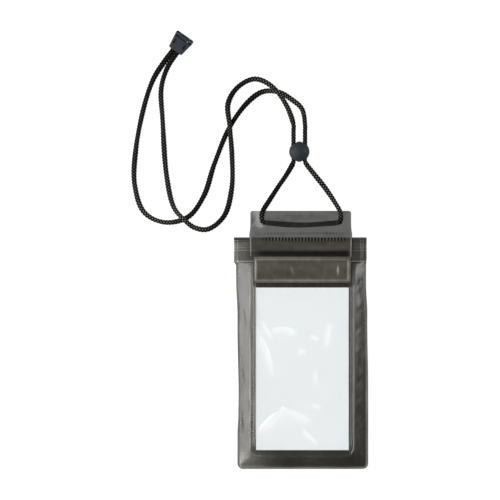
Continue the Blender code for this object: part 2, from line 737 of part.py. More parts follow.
# Cord end clip, modelled along its own Y with the cord mouth at the low end


def tapered_outline(inset, low_y, high_y):
    """Trapezium of the clip between two stations, drawn in by the inset."""
    low, high = -CLIP_LENGTH / 2, CLIP_LENGTH / 2

    def half_width(y):
        share = (y - low) / (high - low)
        return (CLIP_MOUTH_WIDTH + (CLIP_WIDE_WIDTH - CLIP_MOUTH_WIDTH) * share) / 2

    near, far = half_width(low_y) - inset, half_width(high_y) - inset
    return [(-near, low_y), (near, low_y), (far, high_y), (-far, high_y)]


def rounded_corner(corner, before, after, radius, steps=5):
    """Arc that rounds one corner of an outline: points from one side to the other."""
    to_before = (Vector(before) - Vector(corner)).normalized()
    to_after = (Vector(after) - Vector(corner)).normalized()
    half_turn = to_before.angle(to_after) / 2
    bisector = (to_before + to_after).normalized()
    centre = Vector(corner) + bisector * (radius / math.sin(half_turn))
    start = Vector(corner) + to_before * (radius / math.tan(half_turn)) - centre
    end = Vector(corner) + to_after * (radius / math.tan(half_turn)) - centre
    points = []
    for k in range(steps + 1):
        spoke = start.lerp(end, k / steps).normalized() * radius
        points.append(tuple(centre + spoke))
    return points


def plate(name, outline, low_z, high_z, collection, material=None, bevel=0.0):
    """Flat outline raised between two heights, as a mesh with its place applied."""
    curve = bpy.data.curves.new(name, "CURVE")
    curve.dimensions = "2D"
    curve.fill_mode = "BOTH"
    curve.extrude = (high_z - low_z) / 2
    curve.render_resolution_u = 0
    spline = curve.splines.new("POLY")
    spline.points.add(len(outline) - 1)
    for point, (x, y) in zip(spline.points, outline):
        point.co = (x, y, 0.0, 1.0)
    spline.use_cyclic_u = True
    source = bpy.data.objects.new(name, curve)
    collection.objects.link(source)
    evaluated = source.evaluated_get(bpy.context.evaluated_depsgraph_get())
    mesh = bpy.data.meshes.new_from_object(evaluated)
    bpy.data.objects.remove(source, do_unlink=True)
    bm = bmesh.new()
    bm.from_mesh(mesh)
    bmesh.ops.remove_doubles(bm, verts=bm.verts, dist=0.000001)
    bmesh.ops.translate(bm, vec=Vector((0, 0, (low_z + high_z) / 2)), verts=bm.verts)
    bm.to_mesh(mesh)
    bm.free()
    obj = bpy.data.objects.new(name, mesh)
    if material:
        mesh.materials.append(material)
    collection.objects.link(obj)
    if bevel:
        rounding = obj.modifiers.new("edges", "BEVEL")
        rounding.width = bevel
        rounding.segments = 3
        rounding.limit_method = "ANGLE"
    return obj


def build_clip(material, collection, cutters):
    """Lower shell with two hinge lugs, and a lid that turns between them."""
    holder = bpy.data.objects.new("clip_place", None)
    collection.objects.link(holder)
    holder.location = (CLIP_X, CLIP_Y, 0.0)
    holder.rotation_euler = (0.0, 0.0, math.radians(CLIP_TURN_DEG))

    cord_z = CLIP_WALL + CORD_CLEARANCE + CORD_DIAMETER / 2
    split = cord_z + HINGE_GAP / 2
    top = 2 * cord_z
    low_y, wide_y = -CLIP_LENGTH / 2, CLIP_LENGTH / 2
    hinge_y = wide_y + HINGE_SETBACK
    hinge_z = cord_z + HINGE_GAP
    shell_end = hinge_y - LUG_RADIUS - HINGE_GAP
    cavity_half = CLIP_CORD_SPACING / 2 + CORD_DIAMETER / 2 + CORD_CLEARANCE
    cavity = [
        (-cavity_half, low_y - CLIP_WALL), (cavity_half, low_y - CLIP_WALL),
        (cavity_half, shell_end - CLIP_WALL), (-cavity_half, shell_end - CLIP_WALL),
    ]  # fmt: skip
    latch_x = cavity_half + LATCH_FROM_CAVITY
    lug_inner = BARREL_WIDTH / 2 + HINGE_GAP
    lug_width = CLIP_WIDE_WIDTH / 2 - lug_inner

    body = plate(
        "clip_body", tapered_outline(0.0, low_y, shell_end), 0.0, split - HINGE_GAP,
        collection, material, CLIP_CORNER,
    )  # fmt: skip
    body.parent = holder
    pocket = plate("body_pocket", cavity, CLIP_WALL, 2 * top, cutters)
    pocket.parent = holder
    boolean(body, as_cutter(pocket), "DIFFERENCE")
    foot_low = shell_end - LUG_FOOT_OVERLAP
    foot_high = hinge_y + LUG_FOOT_OVERLAP
    foot_height = hinge_z * LUG_FOOT_SHARE
    for side, sign in (("left", -1), ("right", 1)):
        x = sign * (lug_inner + lug_width / 2)
        lug = cylinder(f"lug_{side}", LUG_RADIUS, lug_width, "X", 24, cutters)
        lug.parent = holder
        lug.location = (x, hinge_y, hinge_z)
        boolean(body, as_cutter(lug), "UNION")
        foot = block(
            f"lug_foot_{side}", (lug_width, foot_high - foot_low, foot_height),
            (x, (foot_low + foot_high) / 2, foot_height / 2),
            None, cutters,
        )  # fmt: skip
        foot.parent = holder
        boolean(body, as_cutter(foot), "UNION")
        latch = block(
            f"latch_{side}", (LATCH_WIDTH, LATCH_LENGTH, LATCH_RISE + CLIP_WALL),
            (sign * latch_x, 0.0, split + LATCH_RISE / 2),
            None, cutters,
        )  # fmt: skip
        latch.parent = holder
        boolean(body, as_cutter(latch), "UNION")
    axle = cylinder(
        "trunnion_bore", TRUNNION_RADIUS + HINGE_GAP,
        2 * (lug_inner + TRUNNION_REACH), "X", 20, cutters,
    )  # fmt: skip
    axle.parent = holder
    axle.location = (0.0, hinge_y, hinge_z)
    boolean(body, as_cutter(axle), "DIFFERENCE")
    near_left, near_right, far_right, far_left = tapered_outline(
        0.0, low_y, hinge_y + LUG_RADIUS
    )
    rounded = [near_left, near_right]
    rounded += rounded_corner(far_right, near_right, far_left, CLIP_WIDE_CORNER)
    rounded += rounded_corner(far_left, far_right, near_left, CLIP_WIDE_CORNER)
    trim = plate("body_plan", rounded, -CLIP_WALL, 2 * top, cutters)
    trim.parent = holder
    boolean(body, as_cutter(trim), "INTERSECT")

    pivot = bpy.data.objects.new("clip_lid_pivot", None)
    collection.objects.link(pivot)
    pivot.parent = holder
    pivot.location = (0.0, hinge_y, hinge_z)
    lid = plate(
        "clip_lid", tapered_outline(0.0, low_y, shell_end), split, top,
        collection, material, CLIP_CORNER,
    )  # fmt: skip
    lid.parent = pivot
    lid.location = (0.0, -hinge_y, -hinge_z)
    ceiling = plate("lid_pocket", cavity, -CLIP_WALL, top - CLIP_WALL, cutters)
    ceiling.parent = holder
    boolean(lid, as_cutter(ceiling), "DIFFERENCE")
    neck_low = shell_end - CLIP_WALL / 2
    neck_half = BARREL_WIDTH / 2
    neck = plate(
        "lid_neck",
        [(-neck_half, neck_low), (neck_half, neck_low),
         (neck_half, hinge_y), (-neck_half, hinge_y)],
        hinge_z, hinge_z + LUG_RADIUS, cutters,
    )  # fmt: skip
    neck.parent = holder
    boolean(lid, as_cutter(neck), "UNION")
    barrel = cylinder("lid_barrel", LUG_RADIUS, BARREL_WIDTH, "X", 24, cutters)
    barrel.parent = holder
    barrel.location = (0.0, hinge_y, hinge_z)
    boolean(lid, as_cutter(barrel), "UNION")
    pin = cylinder(
        "lid_trunnions", TRUNNION_RADIUS,
        2 * (lug_inner + TRUNNION_REACH - HINGE_GAP), "X", 20, cutters,
    )  # fmt: skip
    pin.parent = holder
    pin.location = (0.0, hinge_y, hinge_z)
    boolean(lid, as_cutter(pin), "UNION")
    ridge = block(
        "lid_ridge", (2 * cavity_half, CLIP_RIDGE_WIDTH, 2 * CLIP_RIDGE_HEIGHT),
        (0.0, shell_end - CLIP_RIDGE_FROM_END, top),
        None, cutters, CLIP_RIDGE_HEIGHT / 2,
    )  # fmt: skip
    ridge.parent = holder
    boolean(lid, as_cutter(ridge), "UNION")
    for side, sign in (("left", -1), ("right", 1)):
        slot = block(
            f"slot_{side}",
            (LATCH_WIDTH + 2 * LATCH_CLEARANCE, LATCH_LENGTH + 2 * LATCH_CLEARANCE, 2 * top),
            (sign * latch_x, 0.0, top),
            None, cutters,
        )  # fmt: skip
        slot.parent = holder
        boolean(lid, as_cutter(slot), "DIFFERENCE")
    return body, lid


def main():
    clear_scene()
    parts = new_collection("phone_pouch")
    cutters = new_collection("cutters")

    smoke = new_material("smoke_film", (0.16, 0.155, 0.145), 0.32, 0.8)
    smoke_front = new_material("smoke_front", (0.17, 0.165, 0.155), 0.3, 0.8)
    smoke_flap = new_material("smoke_flap", (0.18, 0.175, 0.165), 0.34, 0.85)
    clear_front = new_material("clear_front", (0.86, 0.9, 0.91), 0.08, 0.3)
    clear_back = new_material("clear_back", (0.86, 0.9, 0.91), 0.1, 0.3)
    track_male = new_material("track_male", (0.2, 0.195, 0.185), 0.4)
    track_female = new_material("track_female", (0.2, 0.195, 0.185), 0.4)
    hook_tape = new_material("hook_tape", (0.05, 0.05, 0.05), 0.85)
    loop_tape = new_material("loop_tape", (0.045, 0.045, 0.045), 0.95)
    braid = new_material("braid", (0.025, 0.025, 0.023), 0.8)
    bead_plastic = new_material("bead_plastic", (0.035, 0.042, 0.05), 0.4)
    clip_plastic = new_material("clip_plastic", (0.045, 0.052, 0.062), 0.38)

    build_back_panel(smoke, parts)
    build_front_panel(smoke_front, parts)
    build_pane("front_window", FRONT_PANE_LEVEL, clear_front, parts)
    build_pane("back_window", FLANGE_LEVEL, clear_back, parts)
    build_zip_male(track_male, parts)
    build_zip_female(track_female, parts)
    build_closure_flap(smoke_flap, parts, cutters)
    build_pads(hook_tape, loop_tape, parts)
    build_cord(braid, parts)
    build_bead(bead_plastic, parts, cutters)
    build_clip(clip_plastic, parts, cutters)


main()
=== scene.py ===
import math

import bmesh
import bpy
import numpy as np
from mathutils import Matrix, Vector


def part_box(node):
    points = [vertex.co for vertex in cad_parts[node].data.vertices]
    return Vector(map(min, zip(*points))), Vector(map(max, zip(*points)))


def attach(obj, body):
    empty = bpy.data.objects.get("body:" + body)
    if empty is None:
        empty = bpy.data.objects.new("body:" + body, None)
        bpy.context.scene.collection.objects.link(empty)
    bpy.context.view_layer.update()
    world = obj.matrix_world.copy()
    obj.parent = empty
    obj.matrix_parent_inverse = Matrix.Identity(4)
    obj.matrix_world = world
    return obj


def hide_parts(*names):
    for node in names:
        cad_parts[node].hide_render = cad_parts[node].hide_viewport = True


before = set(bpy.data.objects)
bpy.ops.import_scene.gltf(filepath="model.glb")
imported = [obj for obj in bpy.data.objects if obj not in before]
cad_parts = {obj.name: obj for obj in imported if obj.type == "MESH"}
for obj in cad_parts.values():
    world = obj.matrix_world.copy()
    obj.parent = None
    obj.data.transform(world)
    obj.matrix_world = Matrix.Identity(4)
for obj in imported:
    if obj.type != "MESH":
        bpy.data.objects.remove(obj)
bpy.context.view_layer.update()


# Shooting table: a matte white sheet that the pouch lies on, seen from straight above
# The camera stands over the middle of the photograph, at the height where a pixel is 0.8 mm
VIEW_X, VIEW_Y = -0.0405, 0.0719
VIEW_WIDTH = 0.4
LENS, SENSOR = 180.0, 36.0
TABLE_HALF = 14.0
TABLE_DROP = 0.0002
TABLE_GLOW = 0.86
WHITE = (1.0, 1.0, 1.0, 1.0)
PAPER_WHITE, PAPER_SHINE = (0.9, 0.9, 0.9, 1.0), 1.09
ROOM_WHITE, ROOM_LIGHT = (0.93, 0.96, 1.0, 1.0), 0.10


def node(tree, kind, inputs=None, **settings):
    """One shader node with its settings; an input is a socket to link or a plain value."""
    made = tree.nodes.new(kind)
    for name, value in settings.items():
        setattr(made, name, value)
    for key, value in (inputs or {}).items():
        if isinstance(value, bpy.types.NodeSocket):
            tree.links.new(value, made.inputs[key])
        else:
            made.inputs[key].default_value = value
    return made


def math_node(tree, operation, first, second=0.0, clamp=False):
    """Result socket of one Math node."""
    made = node(tree, "ShaderNodeMath", {0: first, 1: second}, operation=operation)
    made.use_clamp = clamp
    return made.outputs[0]


def place(name, mesh):
    """New object at the origin, in the scene's own collection."""
    made = bpy.data.objects.new(name, mesh)
    bpy.context.scene.collection.objects.link(made)
    return made


def coat(piece, material):
    """Give an object one material in place of those it has."""
    piece.data.materials.clear()
    piece.data.materials.append(material)


def table_sheet():
    """Square of four corners, level, a hair below the resting plane."""
    corners = TABLE_HALF * np.array([[-1, -1], [1, -1], [1, 1], [-1, 1]], float)
    points = np.column_stack([corners, np.full(4, -TABLE_DROP)])
    mesh = bpy.data.meshes.new("table")
    mesh.from_pydata(points.tolist(), [], [(0, 1, 2, 3)])
    return place("table", mesh)


def table_paper():
    """Matte white that a viewer or a gloss sees as plain white, and that keeps a shadow."""
    paper = bpy.data.materials.new("table_paper")
    paper.use_nodes = True
    tree = paper.node_tree
    tree.nodes.clear()
    matte = node(tree, "ShaderNodeBsdfDiffuse", {"Color": PAPER_WHITE})
    glow = node(tree, "ShaderNodeEmission", {"Color": WHITE, "Strength": PAPER_SHINE})
    path = node(tree, "ShaderNodeLightPath")
    seen = math_node(tree, "MAXIMUM", path.outputs["Is Camera Ray"], path.outputs["Is Glossy Ray"])
    seen = math_node(tree, "MAXIMUM", seen, path.outputs["Is Transmission Ray"])
    share = math_node(tree, "MULTIPLY", seen, TABLE_GLOW)
    mixed = node(tree, "ShaderNodeMixShader", {0: share, 1: matte.outputs[0], 2: glow.outputs[0]})
    node(tree, "ShaderNodeOutputMaterial", {"Surface": mixed.outputs[0]})
    return paper


table = table_sheet()
coat(table, table_paper())

camera_data = bpy.data.cameras.new("camera")
camera_data.lens = LENS
camera_data.sensor_width = SENSOR
camera_data.clip_start, camera_data.clip_end = 0.05, 60.0
camera = place("camera", camera_data)
camera.location = (VIEW_X, VIEW_Y, VIEW_WIDTH * LENS / SENSOR)
bpy.context.scene.camera = camera

world = bpy.data.worlds.new("room")
world.use_nodes = True
backdrop = world.node_tree.nodes["Background"]
backdrop.inputs["Color"].default_value = ROOM_WHITE
backdrop.inputs["Strength"].default_value = ROOM_LIGHT
bpy.context.scene.world = world
bpy.context.scene.view_settings.view_transform = "Standard"


# Studio light: a large soft box leaning over the left side, whose reflection lies on every
# slope that faces it, and a weak one low on the right for the slopes that face away
def soft_box(name, at, toward, size, power):
    """Square area lamp at a point, facing another."""
    data = bpy.data.lights.new(name, "AREA")
    data.size, data.energy = size, power
    lamp = place(name, data)
    lamp.location = at
    away = np.subtract(at, toward)
    flat_run = math.hypot(away[0], away[1])
    lamp.rotation_euler = (0.0, math.atan2(flat_run, away[2]), math.atan2(away[1], away[0]))


soft_box("side_box", at=(-0.50, 0.10, 0.40), toward=(0.0, 0.0, 0.05), size=0.72, power=12.5)
soft_box("right_box", at=(0.62, 0.24, 0.34), toward=(0.05, 0.0, 0.0), size=0.46, power=4.2)


# Neck cord: one length of black braided polyester, 3.2 mm thick, that leaves the end clip,
# runs through the bead and the tab's two holes, and comes back to the clip
CORD_DIAMETER = 0.0032
CORD_STEP = 0.00034
CORD_SIDES = 32
BRAID_STRANDS = 4
BRAID_PITCH = 0.0024
BRAID_DEPTH = 0.00030
STRAND_DIP = 0.3
LAID_WIDTH, LAID_HEIGHT, HELD_WIDTH = 1.36, 0.97, 1.20
HELD_LEVEL, HELD_BLEND = 0.0060, 0.0005
SLACK_WAVES = ((0.07, 0.0061, 0.0), (0.06, 0.0147, 1.0))
# Painted highlight: its share is greatest where the cord runs at this heading and never below the least
# share, as light from the left falls on the yarns
PAINTED_SHEEN_HEADING, PAINTED_SHEEN_LEAST = math.radians(145), 0.12
# The yarn goes from its dark colour to a painted highlight colour on each strand's crown
YARN_DARK, YARN_PAINTED_HIGHLIGHT = (0.0012, 0.0012, 0.0009, 1.0), (0.330, 0.322, 0.290, 1.0)
FILAMENTS, FILAMENT_SHADE, CROWN_POWER = 4, 0.22, 8.0
CORD_ROUTE = [
    (-0.0943, 0.2361, 0.0031), (-0.0992, 0.2292, 0.0031), (-0.1064, 0.2179, 0.0016),
    (-0.1114, 0.2015, 0.0016), (-0.1104, 0.1760, 0.0016), (-0.1070, 0.1300, 0.0016),
    (-0.1012, 0.1056, 0.0022), (-0.0938, 0.0968, 0.0054), (-0.0848, 0.0898, 0.0021),
    (-0.0740, 0.0886, 0.0016), (-0.0612, 0.0992, 0.0016), (-0.0551, 0.1215, 0.0016),
    (-0.0549, 0.1470, 0.0018), (-0.0567, 0.1710, 0.0054), (-0.0580, 0.1890, 0.0018),
    (-0.0503, 0.2020, 0.0016), (-0.0368, 0.2086, 0.0016), (-0.0234, 0.2030, 0.0016),
    (-0.0117, 0.1880, 0.0022), (-0.0058, 0.1715, 0.0065), (-0.0058, 0.1670, 0.0065),
    (-0.0058, 0.1470, 0.0065), (-0.0058, 0.1425, 0.0065), (-0.0105, 0.1334, 0.0028),
    (-0.0179, 0.1225, 0.0017), (-0.0256, 0.1106, 0.0040), (-0.0302, 0.1030, 0.0059),
    (-0.0311, 0.0985, 0.0059), (-0.0309, 0.0965, 0.0056), (-0.0304, 0.0948, 0.0045),
    (-0.0294, 0.0940, 0.0030), (-0.0277, 0.0937, 0.0019), (-0.0250, 0.0934, 0.0016),
    (0.0000, 0.0919, 0.0016), (0.0260, 0.0934, 0.0016), (0.0287, 0.0937, 0.0019),
    (0.0304, 0.0940, 0.0030), (0.0314, 0.0948, 0.0045), (0.0318, 0.0965, 0.0056),
    (0.0320, 0.0985, 0.0059), (0.0311, 0.1030, 0.0059), (0.0268, 0.1106, 0.0040),
    (0.0190, 0.1222, 0.0017), (0.0100, 0.1334, 0.0028), (0.0034, 0.1425, 0.0065),
    (0.0034, 0.1470, 0.0065), (0.0034, 0.1670, 0.0065), (0.0034, 0.1715, 0.0065),
    (0.0010, 0.1845, 0.0028), (-0.0080, 0.1927, 0.0028), (-0.0170, 0.1977, 0.0054),
    (-0.0300, 0.1985, 0.0018), (-0.0420, 0.1903, 0.0016), (-0.0566, 0.1703, 0.0016),
    (-0.0691, 0.1404, 0.0016), (-0.0773, 0.1155, 0.0016), (-0.0898, 0.0985, 0.0016),
    (-0.1085, 0.0940, 0.0016), (-0.1249, 0.1018, 0.0016), (-0.1327, 0.1240, 0.0016),
    (-0.1318, 0.1521, 0.0016), (-0.1248, 0.1880, 0.0016), (-0.1176, 0.2088, 0.0016),
    (-0.1085, 0.2231, 0.0019), (-0.1024, 0.2314, 0.0031), (-0.0975, 0.2384, 0.0031),
]


def plan_curve(plan, share):
    """Centripetal curve: between two points, straight lines over the square roots of the
    chord lengths are blended three times, so that the curve passes through every point."""
    ends = [2 * plan[0] - plan[1]], [2 * plan[-1] - plan[-2]]
    all_points = np.vstack([ends[0], plan, ends[1]])
    q = [all_points[k : len(all_points) - 3 + k, None, :] for k in range(4)]
    gaps = [np.sqrt(np.linalg.norm(b - a, axis=2, keepdims=True)) for a, b in zip(q, q[1:])]
    t1, t2, t3 = gaps[0], gaps[0] + gaps[1], gaps[0] + gaps[1] + gaps[2]
    t = t1 + (t2 - t1) * share

    def between(a, b, start, end):
        return (a * (end - t) + b * (t - start)) / (end - start)

    a1, a2, a3 = between(q[0], q[1], 0, t1), between(q[1], q[2], t1, t2), between(q[2], q[3], t2, t3)
    b1, b2 = between(a1, a2, 0, t2), between(a2, a3, t1, t3)
    return between(b1, b2, t1, t2)


def eased_heights(route, share):
    """Cubic between two heights whose end slopes are harmonic means of the neighbours'
    rises, or level where these change sign, so that it never overshoots a point."""
    runs = np.linalg.norm(np.diff(route[:, :2], axis=0), axis=1)
    rises = np.diff(route[:, 2]) / runs
    product, total = rises[:-1] * rises[1:], rises[:-1] + rises[1:]
    rising = product > 0
    mean = np.where(rising, 2 * product / np.where(rising, total, 1.0), 0.0)
    slopes = np.concatenate([[0.0], mean, [0.0]])
    low, high = route[:-1, 2, None], route[1:, 2, None]
    lean = (1 - share) * slopes[:-1, None] - share * slopes[1:, None]
    blend = share**2 * (3 - 2 * share)
    return low + (high - low) * blend + runs[:, None] * share * (1 - share) * lean


def cord_centres(route, step, samples=40):
    """Points a fixed step apart along the smooth curve through the route."""
    route = np.array(route)
    share = np.arange(samples) / samples
    plan = plan_curve(route[:, :2], share[None, :, None]).reshape(-1, 2)
    heights = eased_heights(route, share[None, :]).reshape(-1)
    dense = np.vstack([np.column_stack([plan, heights]), route[-1]])
    along = np.concatenate([[0.0], np.cumsum(np.linalg.norm(np.diff(dense, axis=0), axis=1))])
    places = np.linspace(0.0, along[-1], round(along[-1] / step) + 1)
    return np.column_stack([np.interp(places, along, dense[:, k]) for k in range(3)]), places


def tube_quads(rings, sides):
    """Quads between neighbouring rings of points, and each quad's ring and side."""
    ring, k = np.meshgrid(np.arange(rings - 1), np.arange(sides), indexing="ij")
    after = (k + 1) % sides
    corners = [ring * sides + k, ring * sides + after, (ring + 1) * sides + after, (ring + 1) * sides + k]
    return np.stack(corners, -1).reshape(-1, 4), ring, k


def point_values(mesh, name, values):
    """One number on every point of a mesh, for its material to read."""
    layer = mesh.attributes.new(name, "FLOAT", "POINT")
    layer.data.foreach_set("value", values.astype(np.float32))


def braided_tube(name, centres, places):
    """Tube whose radius follows the braid: two families of strands cross at angles, a
    strand is a parabola across itself, and the families take turns to lie on top. Where it
    lies free the soft tube is wider than high, and the bead's bores hold it rounder."""
    turn = np.arange(CORD_SIDES) / CORD_SIDES
    one = BRAID_STRANDS * turn[None, :] + places[:, None] / BRAID_PITCH
    other = BRAID_STRANDS * turn[None, :] - places[:, None] / BRAID_PITCH
    first_on_top = (np.floor(one) + np.floor(other)) % 2 == 0
    off_one, off_other = 2 * (one % 1) - 1, 2 * (other % 1) - 1
    across = np.where(first_on_top, off_one, off_other)
    lengthwise = np.where(first_on_top, off_other, off_one)
    crown = (1 - across**2) * (1 - STRAND_DIP * lengthwise**2)
    radius = CORD_DIAMETER / 2 - BRAID_DEPTH * (1 - crown)
    held = np.clip((centres[:, 2] - HELD_LEVEL) / HELD_BLEND, 0.0, 1.0)
    slack = sum(size * np.sin(places / run + phase) for size, run, phase in SLACK_WAVES)
    wide = (HELD_WIDTH + (LAID_WIDTH - HELD_WIDTH + slack) * (1 - held))[:, None, None]
    high = (1 + (LAID_HEIGHT - 1) * (1 - held))[:, None, None]

    ahead = np.gradient(centres, axis=0)
    ahead /= np.linalg.norm(ahead, axis=1, keepdims=True)
    side = np.cross(ahead, [0.0, 0.0, 1.0])
    side /= np.linalg.norm(side, axis=1, keepdims=True)
    above = np.cross(side, ahead)
    angle = 2 * math.pi * turn
    spoke = side[:, None] * np.cos(angle)[None, :, None] * wide
    spoke = spoke + above[:, None] * np.sin(angle)[None, :, None] * high
    points = (centres[:, None] + radius[..., None] * spoke).reshape(-1, 3)

    rings, sides = len(centres), CORD_SIDES
    quads, ring, k = tube_quads(rings, sides)
    ends = [list(range(sides))[::-1], list(range((rings - 1) * sides, rings * sides))]
    mesh = bpy.data.meshes.new(name)
    mesh.from_pydata(points.tolist(), [], quads.tolist() + ends)
    mesh.shade_smooth()

    columns = np.stack([k, k + 1, k + 1, k], -1).reshape(-1) / sides
    rows = np.stack([ring, ring, ring + 1, ring + 1], -1).reshape(-1)
    uv = np.zeros((len(mesh.loops), 2))
    uv[: len(columns), 0] = BRAID_STRANDS * columns + places[rows] / BRAID_PITCH
    uv[: len(columns), 1] = BRAID_STRANDS * columns - places[rows] / BRAID_PITCH
    layer = mesh.uv_layers.new(name="strands")
    layer.data.foreach_set("uv", uv.astype(np.float32).ravel())
    # Share of the painted highlight by the cord's heading, as the light from the left falls
    painted_sheen_share = np.cos(np.arctan2(ahead[:, 1], ahead[:, 0]) - PAINTED_SHEEN_HEADING) ** 2
    point_values(mesh, "painted_sheen", np.repeat(PAINTED_SHEEN_LEAST + (1 - PAINTED_SHEEN_LEAST) * painted_sheen_share, sides))
    return place(name, mesh)


def colour_mix(tree, share, first, second):
    """Socket that goes from the first colour to the second as the share goes from 0 to 1."""
    return node(tree, "ShaderNodeMix", {0: share, 6: first, 7: second}, data_type="RGBA").outputs[2]


def principled(name, **values):
    """Material with a lone Principled shader and its plain socket values."""
    made = bpy.data.materials.new(name)
    made.use_nodes = True
    shader = made.node_tree.nodes["Principled BSDF"]
    for label, value in values.items():
        shader.inputs[label.replace("_", " ")].default_value = value
    return made, made.node_tree, shader


def braid_material():
    """Black yarn: darkest down in the gaps, with a thin painted highlight on each strand's back
    and fine filaments that run along the strand which lies on top. The painted highlight is
    strongest where the cord runs down to the right, and nearly gone where it runs up to the
    right, as the light from the left falls on the yarns."""
    made, tree, shader = principled("braided_polyester", Roughness=0.7, Specular_IOR_Level=0.04)
    strands = node(tree, "ShaderNodeUVMap", uv_map="strands").outputs[0]
    split = node(tree, "ShaderNodeSeparateXYZ", {0: strands})
    one, other = split.outputs[0], split.outputs[1]
    cells = math_node(tree, "ADD", math_node(tree, "FLOOR", one), math_node(tree, "FLOOR", other))
    under = math_node(tree, "ABSOLUTE", math_node(tree, "MODULO", cells, 2.0))
    off = [math_node(tree, "FRACT", value) for value in (one, other)]
    across = node(tree, "ShaderNodeMix", {0: under, 2: off[0], 3: off[1]}, data_type="FLOAT").outputs[0]
    along = node(tree, "ShaderNodeMix", {0: under, 2: off[1], 3: off[0]}, data_type="FLOAT").outputs[0]
    crown = 1.0
    for value in (across, along):
        bow = math_node(tree, "MULTIPLY", math_node(tree, "SUBTRACT", value, 0.5), 2.0)
        arch = math_node(tree, "SUBTRACT", 1.0, math_node(tree, "MULTIPLY", bow, bow), True)
        crown = math_node(tree, "MULTIPLY", crown, arch)
    lines = math_node(tree, "SINE", math_node(tree, "MULTIPLY", across, 2 * math.pi * FILAMENTS))
    lines = math_node(tree, "ADD", math_node(tree, "MULTIPLY", lines, FILAMENT_SHADE), 1 - FILAMENT_SHADE)
    # Painted highlight: lighter on each strand's crown, times its share by the cord's heading
    painted_shine = math_node(tree, "MULTIPLY", math_node(tree, "POWER", crown, CROWN_POWER), lines)
    painted_sheen_share = node(tree, "ShaderNodeAttribute", attribute_name="painted_sheen").outputs["Fac"]
    painted_shine = math_node(tree, "MULTIPLY", painted_shine, painted_sheen_share)
    tree.links.new(colour_mix(tree, painted_shine, YARN_DARK, YARN_PAINTED_HIGHLIGHT), shader.inputs["Base Color"])
    bump = node(tree, "ShaderNodeBump", {"Strength": 0.5, "Distance": 0.00012, "Height": painted_shine})
    tree.links.new(bump.outputs[0], shader.inputs["Normal"])
    return made


centres, places = cord_centres(CORD_ROUTE, CORD_STEP)
cord = braided_tube("braided_cord", centres, places)
coat(cord, braid_material())
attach(cord, "pouch")
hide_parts("lanyard_cord")


# Slider bead: a satin slate ball, moulded slightly flat, with two bores for the strands
# The cord grips in the bores, and the bead slides along it to set the length of the loop
BEAD_SEGMENTS, BEAD_RINGS = 96, 48
BORE_RADIUS, BORE_MOUTH, BORE_FLARE = 0.0020, 0.0025, 0.0012
BORE_STATIONS, BORE_SIDES, BORE_REACH = 81, 48, 1.2
STRANDS_X = (-0.0058, 0.0034)
GRAIN_SOCKETS = {
    "INPUT": {"Size": "Float", "Depth": "Float", "Smooth": "Float", "Rough": "Float",
              "Dark": "Color", "Light": "Color"},
    "OUTPUT": {"Color": "Color", "Roughness": "Float", "Normal": "Vector"},
}
FINE_SHARE, BROAD_SHARE, BROAD_SCALE = 0.35, 0.65, 0.045
GRAIN_LOW, GRAIN_HIGH = 0.36, 0.64


def grain_group():
    """Fine and coarse noise as the colour, roughness and bumped normal of moulded plastic."""
    tree = bpy.data.node_groups.new("moulded_grain", "ShaderNodeTree")
    for side, sockets in GRAIN_SOCKETS.items():
        for label, kind in sockets.items():
            tree.interface.new_socket(label, in_out=side, socket_type="NodeSocket" + kind)
    given, result = node(tree, "NodeGroupInput"), node(tree, "NodeGroupOutput")
    where = node(tree, "ShaderNodeTexCoord").outputs["Object"]
    per_metre = math_node(tree, "DIVIDE", 1.0, given.outputs["Size"])
    fine = node(tree, "ShaderNodeTexNoise", {"Vector": where, "Scale": per_metre, "Detail": 2.0})
    broad_scale = math_node(tree, "MULTIPLY", per_metre, BROAD_SCALE)
    broad = node(tree, "ShaderNodeTexNoise", {"Vector": where, "Scale": broad_scale, "Detail": 3.0})
    mixed = math_node(tree, "ADD", math_node(tree, "MULTIPLY", fine.outputs[0], FINE_SHARE),
                      math_node(tree, "MULTIPLY", broad.outputs[0], BROAD_SHARE))
    mask = node(tree, "ShaderNodeMapRange", {0: mixed, 1: GRAIN_LOW, 2: GRAIN_HIGH}).outputs[0]
    roughness = {0: mask, 3: given.outputs["Rough"], 4: given.outputs["Smooth"]}
    rough = node(tree, "ShaderNodeMapRange", roughness)
    bump = node(tree, "ShaderNodeBump", {"Distance": given.outputs["Depth"], "Height": fine.outputs[0]})
    tone = colour_mix(tree, mask, given.outputs["Dark"], given.outputs["Light"])
    tree.links.new(tone, result.inputs["Color"])
    tree.links.new(rough.outputs[0], result.inputs["Roughness"])
    tree.links.new(bump.outputs[0], result.inputs["Normal"])
    return tree


GRAIN = grain_group()


def grained(name, size, depth, dark, light, smooth, rough, **plain):
    """Principled material whose colour, roughness and normal come from the shared grain."""
    made, tree, shader = principled(name, **plain)
    grain = node(tree, "ShaderNodeGroup", node_tree=GRAIN)
    for label, value in (("Size", size), ("Depth", depth), ("Smooth", smooth), ("Rough", rough),
                         ("Dark", (*dark, 1.0)), ("Light", (*light, 1.0))):
        grain.inputs[label].default_value = value
    tree.links.new(grain.outputs["Color"], shader.inputs["Base Color"])
    tree.links.new(grain.outputs["Roughness"], shader.inputs["Roughness"])
    tree.links.new(grain.outputs["Normal"], shader.inputs["Normal"])
    return made


